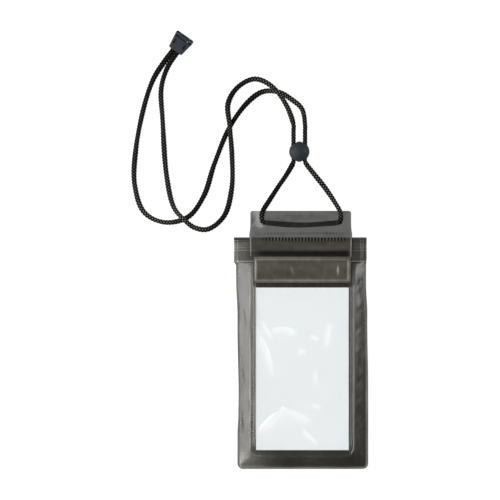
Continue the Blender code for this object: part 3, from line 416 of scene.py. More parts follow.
def turned(name, radii, heights, sides, centre, along_y=False):
    """Closed surface of revolution: every profile point, a radius at a height, becomes a
    ring round the axis, and the two ends close on a point of the axis."""
    angle = 2 * math.pi * np.arange(sides) / sides
    across, along = radii[:, None] * np.cos(angle), radii[:, None] * np.sin(angle)
    rings = np.stack([across, along, np.repeat(heights[:, None], sides, 1)], -1).reshape(-1, 3)
    points = np.vstack([rings, [[0, 0, heights[0]], [0, 0, heights[-1]]]])
    count = len(radii)
    quads, _, _ = tube_quads(count, sides)
    k, after, last = np.arange(sides), (np.arange(sides) + 1) % sides, (count - 1) * sides
    low_fan = np.stack([np.full(sides, count * sides), after, k], -1)
    high_fan = np.stack([np.full(sides, count * sides + 1), last + k, last + after], -1)
    if along_y:
        points = np.column_stack([points[:, 0], points[:, 2], -points[:, 1]])
    faces = quads.tolist() + low_fan.tolist() + high_fan.tolist()
    mesh = bpy.data.meshes.new(name)
    mesh.from_pydata((points + np.array(centre)).tolist(), [], faces)
    return place(name, mesh)


def applied(obj, cutters):
    """The object with its cutters taken off it, as one new mesh in its place."""
    for cutter in cutters:
        cut = obj.modifiers.new(cutter.name, "BOOLEAN")
        cut.operation, cut.object, cut.solver = "DIFFERENCE", cutter, "EXACT"
    evaluated = obj.evaluated_get(bpy.context.evaluated_depsgraph_get())
    mesh = bpy.data.meshes.new_from_object(evaluated)
    obj.modifiers.clear()
    obj.data = mesh
    for cutter in cutters:
        bpy.data.objects.remove(cutter, do_unlink=True)
    return obj


bead_low, bead_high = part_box("slider_bead")
bead_middle = (np.array(bead_low) + np.array(bead_high)) / 2
bead_turn = np.linspace(0.0, math.pi, BEAD_RINGS)[1:-1]
bead_radius = (bead_high.x - bead_low.x) / 2
bead = turned(
    "bead", bead_radius * np.sin(bead_turn), -(bead_high.z - bead_low.z) / 2 * np.cos(bead_turn),
    BEAD_SEGMENTS, bead_middle,
)
bore_run = bead_radius * BORE_REACH
bore_station = np.linspace(-bore_run, bore_run, BORE_STATIONS)
bores = []
for strand_x in STRANDS_X:
    chord = math.sqrt(bead_radius**2 - (strand_x - bead_middle[0]) ** 2)
    widening = np.clip((np.abs(bore_station) - chord + BORE_FLARE) / BORE_FLARE, 0.0, 1.5)
    bore_radii = BORE_RADIUS + (BORE_MOUTH - BORE_RADIUS) * widening**2
    bore_middle = (strand_x, bead_middle[1], bead_middle[2])
    bores.append(turned("bore", bore_radii, bore_station, BORE_SIDES, bore_middle, along_y=True))
bead = applied(bead, bores)
bead.data.shade_smooth()
bead.data.set_sharp_from_angle(angle=math.radians(40))
coat(bead, grained(
    "slate_plastic", size=0.0005, depth=0.000015, dark=(0.0115, 0.0145, 0.0165),
    light=(0.0175, 0.0210, 0.0240), smooth=0.48, rough=0.60, Specular_IOR_Level=0.12,
))
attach(bead, "bead")
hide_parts("slider_bead")


# Cord end clip: two moulded charcoal shells hinged at the wide end, closed over the cord's
# two ends, with latches that snap into the lid's slots; a copy of each gets rounded edges
CLIP_EDGE = 0.00022
CLIP_SHARP = math.radians(32)
JOIN_WITHIN, LEVEL_WITHIN = 0.000002, math.radians(0.5)


def rounded_copy(source, name, edge):
    """Copy of a node with its loose triangles joined and its sharp edges rounded."""
    joined = bmesh.new()
    joined.from_mesh(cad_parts[source].data)
    bmesh.ops.remove_doubles(joined, verts=joined.verts, dist=JOIN_WITHIN)
    bmesh.ops.dissolve_limit(joined, angle_limit=LEVEL_WITHIN, verts=joined.verts, edges=joined.edges)
    mesh = bpy.data.meshes.new(name)
    joined.to_mesh(mesh)
    joined.free()
    mesh.shade_smooth()
    mesh.set_sharp_from_angle(angle=CLIP_SHARP)
    made = place(name, mesh)
    rounding = made.modifiers.new("edges", "BEVEL")
    rounding.width, rounding.segments = edge, 3
    rounding.limit_method, rounding.angle_limit = "ANGLE", CLIP_SHARP
    rounding.harden_normals = True
    even = made.modifiers.new("even_shading", "WEIGHTED_NORMAL")
    even.keep_sharp = True
    return made


charcoal = grained(
    "charcoal_plastic", size=0.00045, depth=0.000015, dark=(0.0094, 0.0116, 0.0156),
    light=(0.0134, 0.0162, 0.0213), smooth=0.38, rough=0.46, Specular_IOR_Level=0.2,
)
for source, name, body in (("clip_body", "clip_shell", "pouch"), ("clip_lid", "clip_cover", "lid")):
    shell = rounded_copy(source, name, CLIP_EDGE)
    coat(shell, charcoal)
    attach(shell, body)
    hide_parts(source)


# Moulded front film: smoky vinyl, 0.4 mm, welded round its rim and drawn up over a former
# to a frame round the window; above the window it drops under the flap and folds at the mouth
FILM = 0.0004
FILM_SHARP = math.radians(50)
BODY_HALF, STRIP_HALF, WINDOW_HALF = 0.052, 0.053, 0.0365
FOOT_CORNER, FIRST_ROW, LIP_CORNER = 0.0045, 0.0048, 0.002
CORNER_ROWS, RISE_ROWS, BEND_ROWS, FOLD_ROWS = 7, 8, 25, 28
INNER_BEND, INNER_FOLD_Y, INNER_LIP_Z, INNER_LIP_Y = 0.0007, 0.0790, 0.0021, 0.0646
PANE_LAP, PANE_TOP_LAP = 0.0036, 0.0020
FILM_GRAIN, FILM_GRAIN_DEPTH = 0.0022, 0.0000015
TONE_BASE, DENSER, PALE_TINT = 4.0, 0.25, (1.01, 1.0, 0.91)
WAVE_SHORTER, WAVE_LOWER, WAVE_FULL = 1.28, 0.83, 3.0
WELD = 0.002
CREST_IN, GROOVES = 0.0105, (0.0114, 0.0127, 0.0140)
GROOVE_WIDTH, GROOVE_DEPTH, CREST_RISE = 0.00034, 0.00022, 0.00030
CORNER_POWER = 4.0
WAVE_RISE = 0.00062
# Painted light on the window's sills: more on the left than on the right, as the light falls from the left
WELD_TONE, LEFT_SILL_PAINTED_LIGHT, RIGHT_SILL_PAINTED_LIGHT = 1.10, 1.10, 0.45
# Painted highlight on the frame's crest and painted shade in its grooves and under the flap's end
CREST_PAINTED_HIGHLIGHT, GROOVE_PAINTED_SHADE, SHADE_TONE, STREAK_TONE, CLOUD_TONE = 0.18, 0.45, 0.55, 0.22, 0.12
EDGE_WANDER, WINDOW_WANDER = 0.00012, 0.00025
SHEET_SHIFT = 0.0018
TOP_LEAN, LOW_LEAN = -0.00108, 0.00062
LEFT_PULL, LEFT_SAG = 0.00035, -0.00060
# Painted light: the lower left of the film is lighter, as the light falls from the left
LOW_LEFT_PAINTED_LIGHT = 1.05
DENTS = [
    ((-0.0465, 0.0300), (-0.0400, 0.0010), 0.0020, 0.00055),
    ((-0.0482, 0.0090), (-0.0445, -0.0085), 0.0022, -0.00065),
    ((-0.0425, -0.0480), (-0.0405, -0.0680), 0.0016, -0.00055),
    ((-0.0490, -0.0560), (-0.0430, -0.0800), 0.0020, 0.00045),
    ((0.0440, 0.0480), (0.0490, 0.0260), 0.0022, 0.00020),
    ((0.0500, -0.0020), (0.0450, -0.0250), 0.0020, -0.00045),
    ((0.0455, -0.0860), (0.0495, -0.0960), 0.0018, 0.00050),
    ((-0.0300, -0.0950), (-0.0050, -0.0985), 0.0018, 0.00040),
    ((0.0050, -0.0975), (0.0330, -0.0950), 0.0016, -0.00035),
]

back_low, back_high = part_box("back_panel")
pane_low, pane_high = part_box("front_window")
body_x = back_high.x - BODY_HALF
bottom_y, fold_top_y = back_low.y, back_high.y
window_x = (pane_low.x + PANE_LAP, pane_high.x - PANE_LAP)
window_y = (pane_low.y + PANE_LAP, pane_high.y - PANE_TOP_LAP)
strip_x = back_low.x + STRIP_HALF
lip_y, flange_z, frame_z, patch_z = 0.0626, 0.0007, 0.0058, 0.0034
patch_low_y, patch_high_y, level_y = 0.0485, 0.0625, 0.0643


def stations(*spans):
    """Rising places: each span is (start, end, steps), and a shared end comes once."""
    parts = [np.linspace(start, end, steps, endpoint=False) for start, end, steps in spans]
    return np.concatenate([*parts, [spans[-1][1]]])


def with_places(places, more):
    """Rising places together with a few more."""
    return np.unique(np.concatenate([places, more]))


def ease(value, start, end):
    """0 before the start, 1 after the end, half a cosine wave between."""
    t = np.clip((value - start) / (end - start), 0.0, 1.0)
    return 0.5 - 0.5 * np.cos(math.pi * t)


def bump_at(value, centre, width):
    """Bell of height 1 at the centre: e to the minus square of the distance in widths."""
    return np.exp(-(((value - centre) / width) ** 2))


def waves(x, y, seed, longest, count=9):
    """Sum of count cosine waves of random direction and phase, each a little shorter and
    lower than the one before, about 1 at its highest."""
    random = np.random.default_rng(seed)
    total = np.zeros_like(x)
    for k in range(count):
        angle, phase = random.uniform(0, math.pi), random.uniform(0, 2 * math.pi)
        length = longest / WAVE_SHORTER**k
        across = x * math.cos(angle) + y * math.sin(angle)
        total += WAVE_LOWER**k * np.cos(2 * math.pi * across / length + phase)
    return total / WAVE_FULL


def walled(name, points, keep, thickness, tone=None):
    """Film of one thickness: the grid's points move half the thickness out and in along
    its normals, the two sheets face outwards, and a strip of quads closes every free edge.
    The tone of a point says how much lighter or darker the film is there than elsewhere."""
    rows, columns = points.shape[:2]
    along_rows, along_columns = np.gradient(points, axis=0), np.gradient(points, axis=1)
    normal = np.cross(along_columns, along_rows)
    normal /= np.linalg.norm(normal, axis=2, keepdims=True)
    index = np.arange(rows * columns).reshape(rows, columns)
    corners = [index[:-1, :-1], index[:-1, 1:], index[1:, 1:], index[1:, :-1]]
    used, quads = np.unique(np.stack(corners, -1)[keep], return_inverse=True)
    quads = quads.reshape(-1, 4)
    middle, normal = points.reshape(-1, 3)[used], normal.reshape(-1, 3)[used]
    both = np.vstack([middle + normal * thickness / 2, middle - normal * thickness / 2])
    count = len(used)
    start, end = quads.reshape(-1), np.roll(quads, -1, axis=1).reshape(-1)
    free = ~np.isin(start * count + end, end * count + start)
    start, end = start[free], end[free]
    rim = np.stack([end, start, start + count, end + count], -1)
    faces = np.vstack([quads, quads[:, ::-1] + count, rim])
    mesh = bpy.data.meshes.new(name)
    mesh.from_pydata(both.tolist(), [], faces.tolist())
    mesh.shade_smooth()
    mesh.set_sharp_from_angle(angle=FILM_SHARP)
    if tone is not None:
        point_values(mesh, "tone", np.tile(tone.reshape(-1)[used], 2))
    return place(name, mesh)


def in_window(points):
    """Which quads of a grid have their middle inside the window's opening."""
    middle = (points[:-1, :-1] + points[1:, 1:]) / 2
    inside = (middle[..., 0] > window_x[0]) & (middle[..., 0] < window_x[1])
    return inside & (middle[..., 1] > window_y[0]) & (middle[..., 1] < window_y[1])


def folded_sheet(level, radius, fold_y, lip_level, lip_end, body_rows):
    """Rows of a sheet that lies level, turns over through a half circle at the mouth and
    runs back to its lip: arrays of y, z, middle x, half width and whether a row has turned."""
    middle, top = level + FILM / 2, lip_level + FILM / 2
    bend = np.linspace(0.0, math.pi, BEND_ROWS)[1:-1]
    corner = np.linspace(0.0, math.pi / 2, CORNER_ROWS)
    ahead, inward = 1 - np.cos(corner), 1 - np.sin(corner)
    rows_up = body_rows[body_rows < lip_y - 0.0001]
    strip_up = np.linspace(lip_y, fold_y, RISE_ROWS)
    strip_back = np.linspace(fold_y, lip_end + LIP_CORNER, FOLD_ROWS)[:-1]
    y = np.concatenate([bottom_y + FOOT_CORNER * ahead, rows_up, strip_up, fold_y + radius * np.sin(bend),
                        strip_back, (lip_end + LIP_CORNER * ahead)[::-1]])
    before = len(corner) + len(rows_up) + len(strip_up)
    z = np.concatenate([np.full(before, middle), middle + radius * (1 - np.cos(bend)),
                        np.full(len(strip_back) + len(corner), top)])
    over = np.arange(len(y)) >= before
    onto = ease(y, lip_y - SHEET_SHIFT, lip_y)
    centre = np.where(over, strip_x, body_x + (strip_x - body_x) * onto)
    half = np.where(over, STRIP_HALF, BODY_HALF + (STRIP_HALF - BODY_HALF) * onto)
    half[: len(corner)] -= FOOT_CORNER * inward
    half[-len(corner):] -= LIP_CORNER * inward[::-1]
    return y, z, centre, half, over


def rim_inset(offset, y):
    """Distance inwards from the outline: a smooth least of the distances to the side and
    to the lower end, so that its level lines turn the two lower corners ever more widely."""
    from_side = np.maximum(BODY_HALF - np.abs(offset), 0.0001)
    from_end = np.maximum(y - bottom_y, 0.0001)
    return (from_side**-CORNER_POWER + from_end**-CORNER_POWER) ** (-1 / CORNER_POWER)


def wander(points):
    """Sideways drift of the film's outline, which leans a little to the left below the strip
    and to the right further down, and of the window's edges, a slow wave."""
    x, y = points[..., 0], points[..., 1]
    outer = ease(np.abs(x - body_x), 0.041, 0.050)
    inner = 1 - ease(np.abs(np.abs(x - body_x) - 0.037), 0.0, 0.006)
    calm = 1 - ease(y, 0.050, 0.060)
    side = np.sign(x - body_x)
    slow = waves(side * 0.02, y, 3, 0.11, 5)
    quick = waves(side * 0.02, y, 4, 0.07, 4)
    lean = TOP_LEAN * ease(y, 0.020, 0.046) + LOW_LEAN * (1 - ease(y, -0.036, 0.012))
    left = LEFT_PULL * bump_at(y, -0.0420, 0.0140) + LEFT_SAG * (1 - ease(y, -0.076, -0.060))
    lean = lean * (1 - ease(y, lip_y - SHEET_SHIFT, lip_y)) + left * (side < 0)
    moved = points.copy()
    moved[..., 0] += calm * (EDGE_WANDER * outer * slow + WINDOW_WANDER * inner * quick) + outer * lean
    return moved


def crease(x, y, start, end, width, rise, crisp=1.0):
    """Fold along a line between two points: it falls off as e to the minus distance over
    the width, blunt at its crest, and goes to nothing at both ends. On the left of its run
    the width is that times crisp, and a long one bows to that side."""
    run = np.subtract(end, start)
    length = np.linalg.norm(run)
    run = run / length
    along = ((x - start[0]) * run[0] + (y - start[1]) * run[1]) / length
    arc = np.sin(math.pi * np.clip(along, 0.0, 1.0))
    off = (x - start[0]) * run[1] - (y - start[1]) * run[0]
    off = off + 0.05 * max(length - 0.010, 0.0) * arc
    reach = np.where(off < 0, crisp * width, width)
    return rise * arc**0.7 * np.exp(0.4 - np.hypot(off, 0.4 * reach) / reach)


def front_tone(offset, y):
    """Tone of the front film: light along the weld's inner edge, a painted highlight on the
    crest, painted shade in the grooves and under the flap's end, and painted light on the
    window's sills, more on the left, and on the lower left."""
    inset = rim_inset(offset, y)
    on_frame = 1 - ease(y, window_y[1] - 0.001, window_y[1] + 0.002)
    on_weld = 1 - ease(inset, WELD - 0.0003, WELD + 0.0003)
    tone = 0.30 * bump_at(inset, WELD, 0.0004) + WELD_TONE * on_weld
    # Painted light on the window's sills, more on the left side than on the right
    sill_painted_light = ease(inset, CREST_IN - 0.0012, CREST_IN) * ease(np.abs(offset), WINDOW_HALF, 0.0375)
    sill_painted_light = sill_painted_light * ease(y - bottom_y, 0.0120, 0.0220)
    tone = tone + sill_painted_light * np.where(offset < 0, LEFT_SILL_PAINTED_LIGHT, RIGHT_SILL_PAINTED_LIGHT)
    # Painted highlight on the crest and painted shade in the grooves
    tone = tone + CREST_PAINTED_HIGHLIGHT * bump_at(inset, CREST_IN, 0.0004) * on_frame
    for place_in in GROOVES:
        tone = tone - GROOVE_PAINTED_SHADE * bump_at(inset, place_in, GROOVE_WIDTH) * on_frame
    # Painted light on the lower left
    low_left_painted_light = ease(-offset, 0.006, 0.044) * ease(-y, 0.084, 0.095) * (inset > WELD)
    shaded = ease(y, window_y[1] + 0.0002, window_y[1] + 0.0012) * (np.abs(offset) < 0.0395)
    streaks = STREAK_TONE * waves(offset * 3.0, y * 0.12, 14, 0.011) * ease(y - bottom_y, 0.004, 0.020)
    clouds = CLOUD_TONE * waves(offset, y * 0.6, 15, 0.03)
    return tone + LOW_LEFT_PAINTED_LIGHT * low_left_painted_light - SHADE_TONE * shaded + streaks + clouds


def front_height(offset, y):
    """Height above the weld: a slope that flattens a little to the crest of the frame, a
    level frame with three grooves, then a drop to the patch under the flap, and a slow wave
    on the slopes where the film has relaxed off the former."""
    inset = rim_inset(offset, y)
    run = np.clip((inset - WELD) / (CREST_IN - WELD), 0.0, 1.0)
    swell = 1 - (1 - run) ** 1.35
    band_end = window_y[1] + 0.0034
    within = 1 - ease(np.abs(offset), 0.0355, 0.0384)
    fall = np.maximum(ease(y, band_end, patch_low_y) * within, ease(y, patch_low_y, patch_high_y))
    level = (frame_z - flange_z) + (patch_z - frame_z) * fall
    on_frame = 1 - ease(y, window_y[1], band_end)
    level = level + CREST_RISE * bump_at(inset, CREST_IN, 0.0009) * on_frame
    for place_in in GROOVES:
        level = level - GROOVE_DEPTH * bump_at(inset, place_in, GROOVE_WIDTH) * on_frame
    slope = np.sin(math.pi * run)
    stretched = waves(offset, y * 0.6, 11, 0.026)
    down = 1 - ease(y, patch_low_y, patch_high_y)
    dented = sum(crease(body_x + offset, y, *dent) for dent in DENTS)
    level = level + slope * (WAVE_RISE * stretched + dented) * down
    return swell * level * (1 - ease(y, patch_high_y, level_y))


def build_front_film():
    """The moulded grid with its window left out, as a walled sheet with its tones."""
    across = stations((-BODY_HALF, -WINDOW_HALF, 68), (-WINDOW_HALF, WINDOW_HALF, 40),
                      (WINDOW_HALF, BODY_HALF, 68))
    columns = with_places(across, np.subtract(window_x, body_x))
    sill_y = window_y[0] + 0.0004
    up = stations((bottom_y + FIRST_ROW, sill_y, 45), (sill_y, 0.0410, 120), (0.0410, 0.0640, 56))
    y, z, centre, half, over = folded_sheet(
        flange_z, INNER_BEND, INNER_FOLD_Y, INNER_LIP_Z, INNER_LIP_Y, with_places(up, window_y),
    )
    offset = columns[None, :] * (half / BODY_HALF)[:, None]
    rows_y = np.repeat(y[:, None], len(columns), 1)
    lift = np.where(over[:, None] | (rows_y > level_y), 0.0, front_height(offset, rows_y))
    points = np.stack([centre[:, None] + offset, rows_y, z[:, None] + lift], -1)
    return walled("front_film", wander(points), ~in_window(points), FILM, front_tone(offset, rows_y))


def smoke_film(name, dark, light, smooth, rough, alpha, pale_from):
    """Smoky vinyl: cloudy, satin, with a very fine calendered grain; the mesh's own tone
    makes it lighter or darker by powers of four, denser where it is darker, and of a more
    neutral grey where the tone is over pale_from."""
    made = grained(name, FILM_GRAIN, FILM_GRAIN_DEPTH, dark, light, smooth, rough, Alpha=alpha, IOR=1.53)
    tree = made.node_tree
    shader = tree.nodes["Principled BSDF"]
    tone = node(tree, "ShaderNodeAttribute", attribute_name="tone").outputs["Fac"]
    factor = math_node(tree, "POWER", TONE_BASE, tone)
    plain = shader.inputs["Base Color"].links[0].from_socket
    paler = math_node(tree, "SUBTRACT", tone, pale_from, True)
    grey = (dark[1] + light[1]) / 2
    plain = colour_mix(tree, paler, plain, (*(share * grey for share in PALE_TINT), 1.0))
    toned = node(tree, "ShaderNodeVectorMath", {0: plain, 3: factor}, operation="SCALE")
    tree.links.new(toned.outputs[0], shader.inputs["Base Color"])
    darker = math_node(tree, "MAXIMUM", math_node(tree, "MULTIPLY", tone, -DENSER), 0.0)
    tree.links.new(math_node(tree, "ADD", darker, alpha, True), shader.inputs["Alpha"])
    return made


front_film = build_front_film()
coat(front_film, smoke_film(
    "smoke_vinyl_front", dark=(0.0230, 0.0216, 0.0180), light=(0.0340, 0.0322, 0.0275),
    smooth=0.24, rough=0.30, alpha=0.74, pale_from=0.3,
))
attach(front_film, "pouch")
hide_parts("front_panel")


# Back film: the same vinyl left flat on the table, with the back window's opening; at the
# mouth it turns over the front film, and its end is the strip with the press zip inside
STRIP_RIBS = (0.0772, 0.0755, 0.0737, 0.0715)
RIB_RISE, RIB_WIDTH = 0.00020, 0.00030
END_WELDS = (-0.0513, 0.0488)
END_WELD_WIDTH, END_WELD_DEPTH = 0.00035, 0.00015
END_DROOP = 0.0011
# Painted highlights on the zip's ribs and along the strip's edges, and painted light towards its left end
STRIP_TONE, STRIP_LEFT_PAINTED_LIGHT, RIB_PAINTED_HIGHLIGHT = 0.17, 0.28, 0.78
END_WELD_TONE, WELD_SIDE_TONE, LIP_PAINTED_HIGHLIGHT = 0.6, 0.90, 1.25


def strip_relief(x, y):
    """Relief of the strip's face: ribs of the zip that show through, and end welds."""
    between = ease(x, END_WELDS[0] + 0.001, END_WELDS[0] + 0.002)
    between = between * (1 - ease(x, END_WELDS[1] - 0.002, END_WELDS[1] - 0.001))
    rise = sum(RIB_RISE * bump_at(y, rib, RIB_WIDTH) for rib in STRIP_RIBS) * between
    for weld in END_WELDS:
        rise = rise - END_WELD_DEPTH * bump_at(x, weld, END_WELD_WIDTH)
    return rise - END_DROOP * ease(np.abs(x - strip_x), 0.040, 0.056) * ease(-y, -0.080, -0.076)


def strip_tone(x, y):
    """Tone of the strip's face: painted highlights on the ribs and along its edges, light beside
    the end welds, dark in them, and painted light towards its left end.
    """
    # Painted highlights on the ribs
    tone = sum(RIB_PAINTED_HIGHLIGHT * bump_at(y, rib, RIB_WIDTH) for rib in STRIP_RIBS)
    # Painted light towards the strip's left end
    tone = tone + STRIP_TONE + STRIP_LEFT_PAINTED_LIGHT * ease(-x, 0.036, 0.046)
    for weld in END_WELDS:
        tone = tone - END_WELD_TONE * bump_at(x, weld, END_WELD_WIDTH)
        tone = tone + WELD_SIDE_TONE * bump_at(np.abs(x - weld), 0.0010, 0.0003)
    from_end = STRIP_HALF - np.abs(x - strip_x)
    # Painted highlight along the strip's lower edge and its ends
    return tone + LIP_PAINTED_HIGHLIGHT * bump_at(np.minimum(from_end, y - lip_y), 0.0, 0.0007)


def build_back_film():
    """The flat grid with its window left out and the strip's relief, as a walled sheet."""
    across = stations((-BODY_HALF, -0.047, 24), (-0.047, 0.045, 60), (0.045, BODY_HALF, 34))
    columns = with_places(across, np.subtract(window_x, body_x))
    up = stations((bottom_y + FIRST_ROW, lip_y, 60))
    radius = (frame_z + FILM) / 2 - FILM / 2
    y, z, centre, half, over = folded_sheet(
        0.0, radius, fold_top_y - (radius + FILM / 2), frame_z, lip_y, with_places(up, window_y),
    )
    offset = columns[None, :] * (half / BODY_HALF)[:, None]
    x = centre[:, None] + offset
    rows_y = np.repeat(y[:, None], len(columns), 1)
    face = over & (z > frame_z)
    rise = np.where(face[:, None], strip_relief(x, rows_y), 0.0)
    tone = np.where(face[:, None], strip_tone(x, rows_y), CLOUD_TONE * waves(x, rows_y, 41, 0.04))
    points = np.stack([x, rows_y, z[:, None] + rise], -1)
    moved = np.where(points[..., 2:] < 0.001, wander(points), points)
    return walled("back_film", moved, ~in_window(points), FILM, tone)


back_film = build_back_film()
coat(back_film, smoke_film(
    "smoke_vinyl_back", dark=(0.0210, 0.0197, 0.0165), light=(0.0310, 0.0293, 0.0250),
    smooth=0.26, rough=0.32, alpha=0.74, pale_from=0.5,
))
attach(back_film, "pouch")
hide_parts("back_panel")


# Clear windows: 0.3 mm clear vinyl welded behind each opening; the front one has been
# handled, so it is crazed with soft creases that catch the light and carry a painted white glare
PANE = 0.0003
CREASES = [
    ((-0.0312, 0.0160), (-0.0222, 0.0005), 0.0020, 0.00095),
    ((-0.0341, 0.0090), (-0.0212, -0.0310), 0.0027, 0.00145),
    ((-0.0350, -0.0745), (-0.0120, -0.0535), 0.0031, 0.00140),
    ((-0.0150, -0.0535), (0.0080, -0.0645), 0.0029, 0.00130),
    ((0.0010, -0.0700), (0.0135, -0.0835), 0.0018, 0.00080),
    ((-0.0235, 0.0085), (-0.0130, 0.0110), 0.0026, 0.00070),
    ((-0.0140, 0.0108), (-0.0030, 0.0060), 0.0026, 0.00060),
    ((0.0082, 0.0035), (0.0148, 0.0010), 0.0019, 0.00085),
    ((-0.0022, -0.0070), (0.0044, -0.0098), 0.0018, 0.00080),
    ((0.0078, -0.0503), (0.0172, -0.0532), 0.0017, 0.00080),
    ((0.0124, -0.0240), (0.0124, -0.0355), 0.0015, 0.00050),
    ((0.0240, 0.0140), (0.0205, -0.0070), 0.0023, 0.00065),
]
PANE_SWELL, BACK_SWELL = 0.00035, 0.00004
# Painted white glare: how strongly the creases are whitened and made less clear
CREASE_PAINTED_GLARE, CREASE_RISE = 0.85, 0.8
# How crisply the painted glare, and the relief, end on the left of a crease
GLARE_CRISP, RISE_CRISP = 0.22, 0.45


def pane_painted_glare(x, y):
    """Share of white: a painted glare along the creases with some real whitening of the film
    at its folds, 1 along the creases and 0 far from them.
    """
    # Painted white glare, with some real whitening, along each crease
    white = sum(crease(x, y, start, end, width, 1.0, GLARE_CRISP) for start, end, width, _ in CREASES)
    return np.clip(1.5 * white, 0.0, 1.0) ** 1.3


def pane_height(x, y):
    """Slack of the clear film: its creases and a slow swell, flat at the frame's edge."""
    height = PANE_SWELL * waves(x, y, 5, 0.045)
    for start, end, width, rise in CREASES:
        height = height + crease(x, y, start, end, width, CREASE_RISE * rise, RISE_CRISP)
    inward_x = np.minimum(x - window_x[0], window_x[1] - x)
    inward_y = np.minimum(y - window_y[0], window_y[1] - y)
    return height * ease(np.minimum(inward_x, inward_y), 0.0002, 0.0045)


def build_pane(name, node_name, columns, rows, height, tone=None):
    """Clear sheet as long and wide as the node, lifted by one function and toned by another."""
    low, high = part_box(node_name)
    x, y = np.meshgrid(np.linspace(low.x, high.x, columns), np.linspace(low.y, high.y, rows))
    points = np.stack([x, y, (low.z + high.z) / 2 + height(x, y)], -1)
    whole = np.ones((rows - 1, columns - 1), bool)
    return walled(name, points, whole, PANE, None if tone is None else tone(x, y))


def clear_vinyl(name, tint, smooth, rough):
    """Clear film: light goes straight through, and only its gloss, a faint haze and a painted
    white glare along the creases show.
    """
    made, tree, shader = principled(name, IOR=1.45)
    shader.inputs["Transmission Weight"].default_value = 1.0
    # Painted white glare: whiter and less clear along the creases
    crease_glare = node(tree, "ShaderNodeAttribute", attribute_name="tone").outputs["Fac"]
    tree.links.new(colour_mix(tree, crease_glare, (*tint, 1.0), WHITE), shader.inputs["Base Color"])
    solid = math_node(tree, "SUBTRACT", 1.0, math_node(tree, "MULTIPLY", crease_glare, CREASE_PAINTED_GLARE), True)
    tree.links.new(solid, shader.inputs["Alpha"])
    where = node(tree, "ShaderNodeTexCoord").outputs["Object"]
    haze = node(tree, "ShaderNodeTexNoise", {"Vector": where, "Scale": 60.0, "Detail": 4.0})
    roughness = {0: haze.outputs[0], 1: 0.35, 2: 0.65, 3: smooth, 4: rough}
    tree.links.new(node(tree, "ShaderNodeMapRange", roughness).outputs[0], shader.inputs["Roughness"])
    return made


front_pane = build_pane("front_pane", "front_window", 136, 226, pane_height, pane_painted_glare)
coat(front_pane, clear_vinyl("clear_vinyl_front", tint=(0.945, 0.966, 0.968), smooth=0.05, rough=0.12))
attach(front_pane, "pouch")
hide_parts("front_window")

back_pane = build_pane("back_pane", "back_window", 44, 72, lambda x, y: BACK_SWELL * waves(x, y, 8, 0.03))
coat(back_pane, clear_vinyl("clear_vinyl_back", tint=(0.97, 0.985, 0.99), smooth=0.06, rough=0.14))
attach(back_pane, "pouch")
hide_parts("back_window")


# Flap and hanger tab: one narrower sheet of the same vinyl, welded along the mouth's fold
# Below the fold it closes over the strip and is embossed round its hook tape; above it is the tab
TAB_HALF, FLAP_HALF = 0.04025, 0.0385
TAB_RISE, FLAP_RISE, TAB_SLOPE = 0.0035, 0.0065, 0.008
HOLES = ((-0.0299, 0.0944, -39.0), (0.0309, 0.0944, 39.0))
HOLE_LONG, HOLE_SHORT = 0.0024, 0.0020
PUNCH_REACH, PUNCH_SIDES = 0.004, 64
FLAP_CORNER, FLAP_COLUMNS = 0.002, 236
SHOULDER_Y, DROP_Y = 0.0664, 0.0794
PATCH_END_Y, PATCH_TOP_Y = 0.0660, 0.0665
BULGE_RISE = 0.0012
RIM_INSET, RIM_WIDTH, RIM_RISE = 0.0017, 0.0009, 0.00032
KNURL_Y, KNURL_PITCH, KNURL_X = 0.0806, 0.0026, (-0.0300, 0.0386)
KNURL_DEPTH, KNURL_HEIGHT, KNURL_SHARP = 0.00035, 0.0012, 0.58
DOT_Y, DOT_HEIGHT = 0.0852, 0.0006
GLINT_X, GLINT_Y, DIM_GLINT_X = 0.0299, 0.0558, -0.0070
CURL_RISE = 0.0021
TAB_FLARE = 0.0008
VALLEY = (0.0664, 0.0716)
# Painted highlights on the patch's rim and edges, the tab's edges and the zip's ribs; painted shade in the
# valley below the zip and in the pressed ticks; painted glints on the patch
RIM_PAINTED_HIGHLIGHT, PATCH_EDGE_PAINTED_HIGHLIGHT, TAB_EDGE_PAINTED_HIGHLIGHT = 0.68, 0.50, 1.5
VALLEY_PAINTED_SHADE, ROW_TONE, TICK_PAINTED_SHADE, DOT_TONE = 1.95, 0.70, 3.4, 0.55
FLAP_RIB_PAINTED_HIGHLIGHT, GLINT_TONE, DIM_GLINT_TONE = 0.34, 0.9, 0.45
BACKED_TONE, PATCH_TONE, FLAP_CLOUD_TONE = 1.08, 0.32, 0.20

flap_low, flap_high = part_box("closure_flap")


def row_span(x):
    """1 along the welding bar, falling to 0 at its two ends."""
    return ease(x, KNURL_X[0] - 0.004, KNURL_X[0] + 0.010) * (1 - ease(x, KNURL_X[1] - 0.008, KNURL_X[1]))


def pressed_row(x):
    """Ticks of the welding bar along the fold: 1 in a tick, 0 between, fading at the ends."""
    wave = 0.5 + 0.5 * np.cos(2 * math.pi * (x - KNURL_X[0]) / KNURL_PITCH)
    return row_span(x) * ease(wave, 0.75 - KNURL_SHARP, 1.25 - KNURL_SHARP)


def patch_inset(x, y):
    """Distance inwards from the nearest edge of the patch below the fold."""
    from_side = np.minimum(x - (body_x - FLAP_HALF), (body_x + FLAP_HALF) - x)
    return np.minimum(from_side, np.minimum(y - flap_low.y, PATCH_END_Y - y))


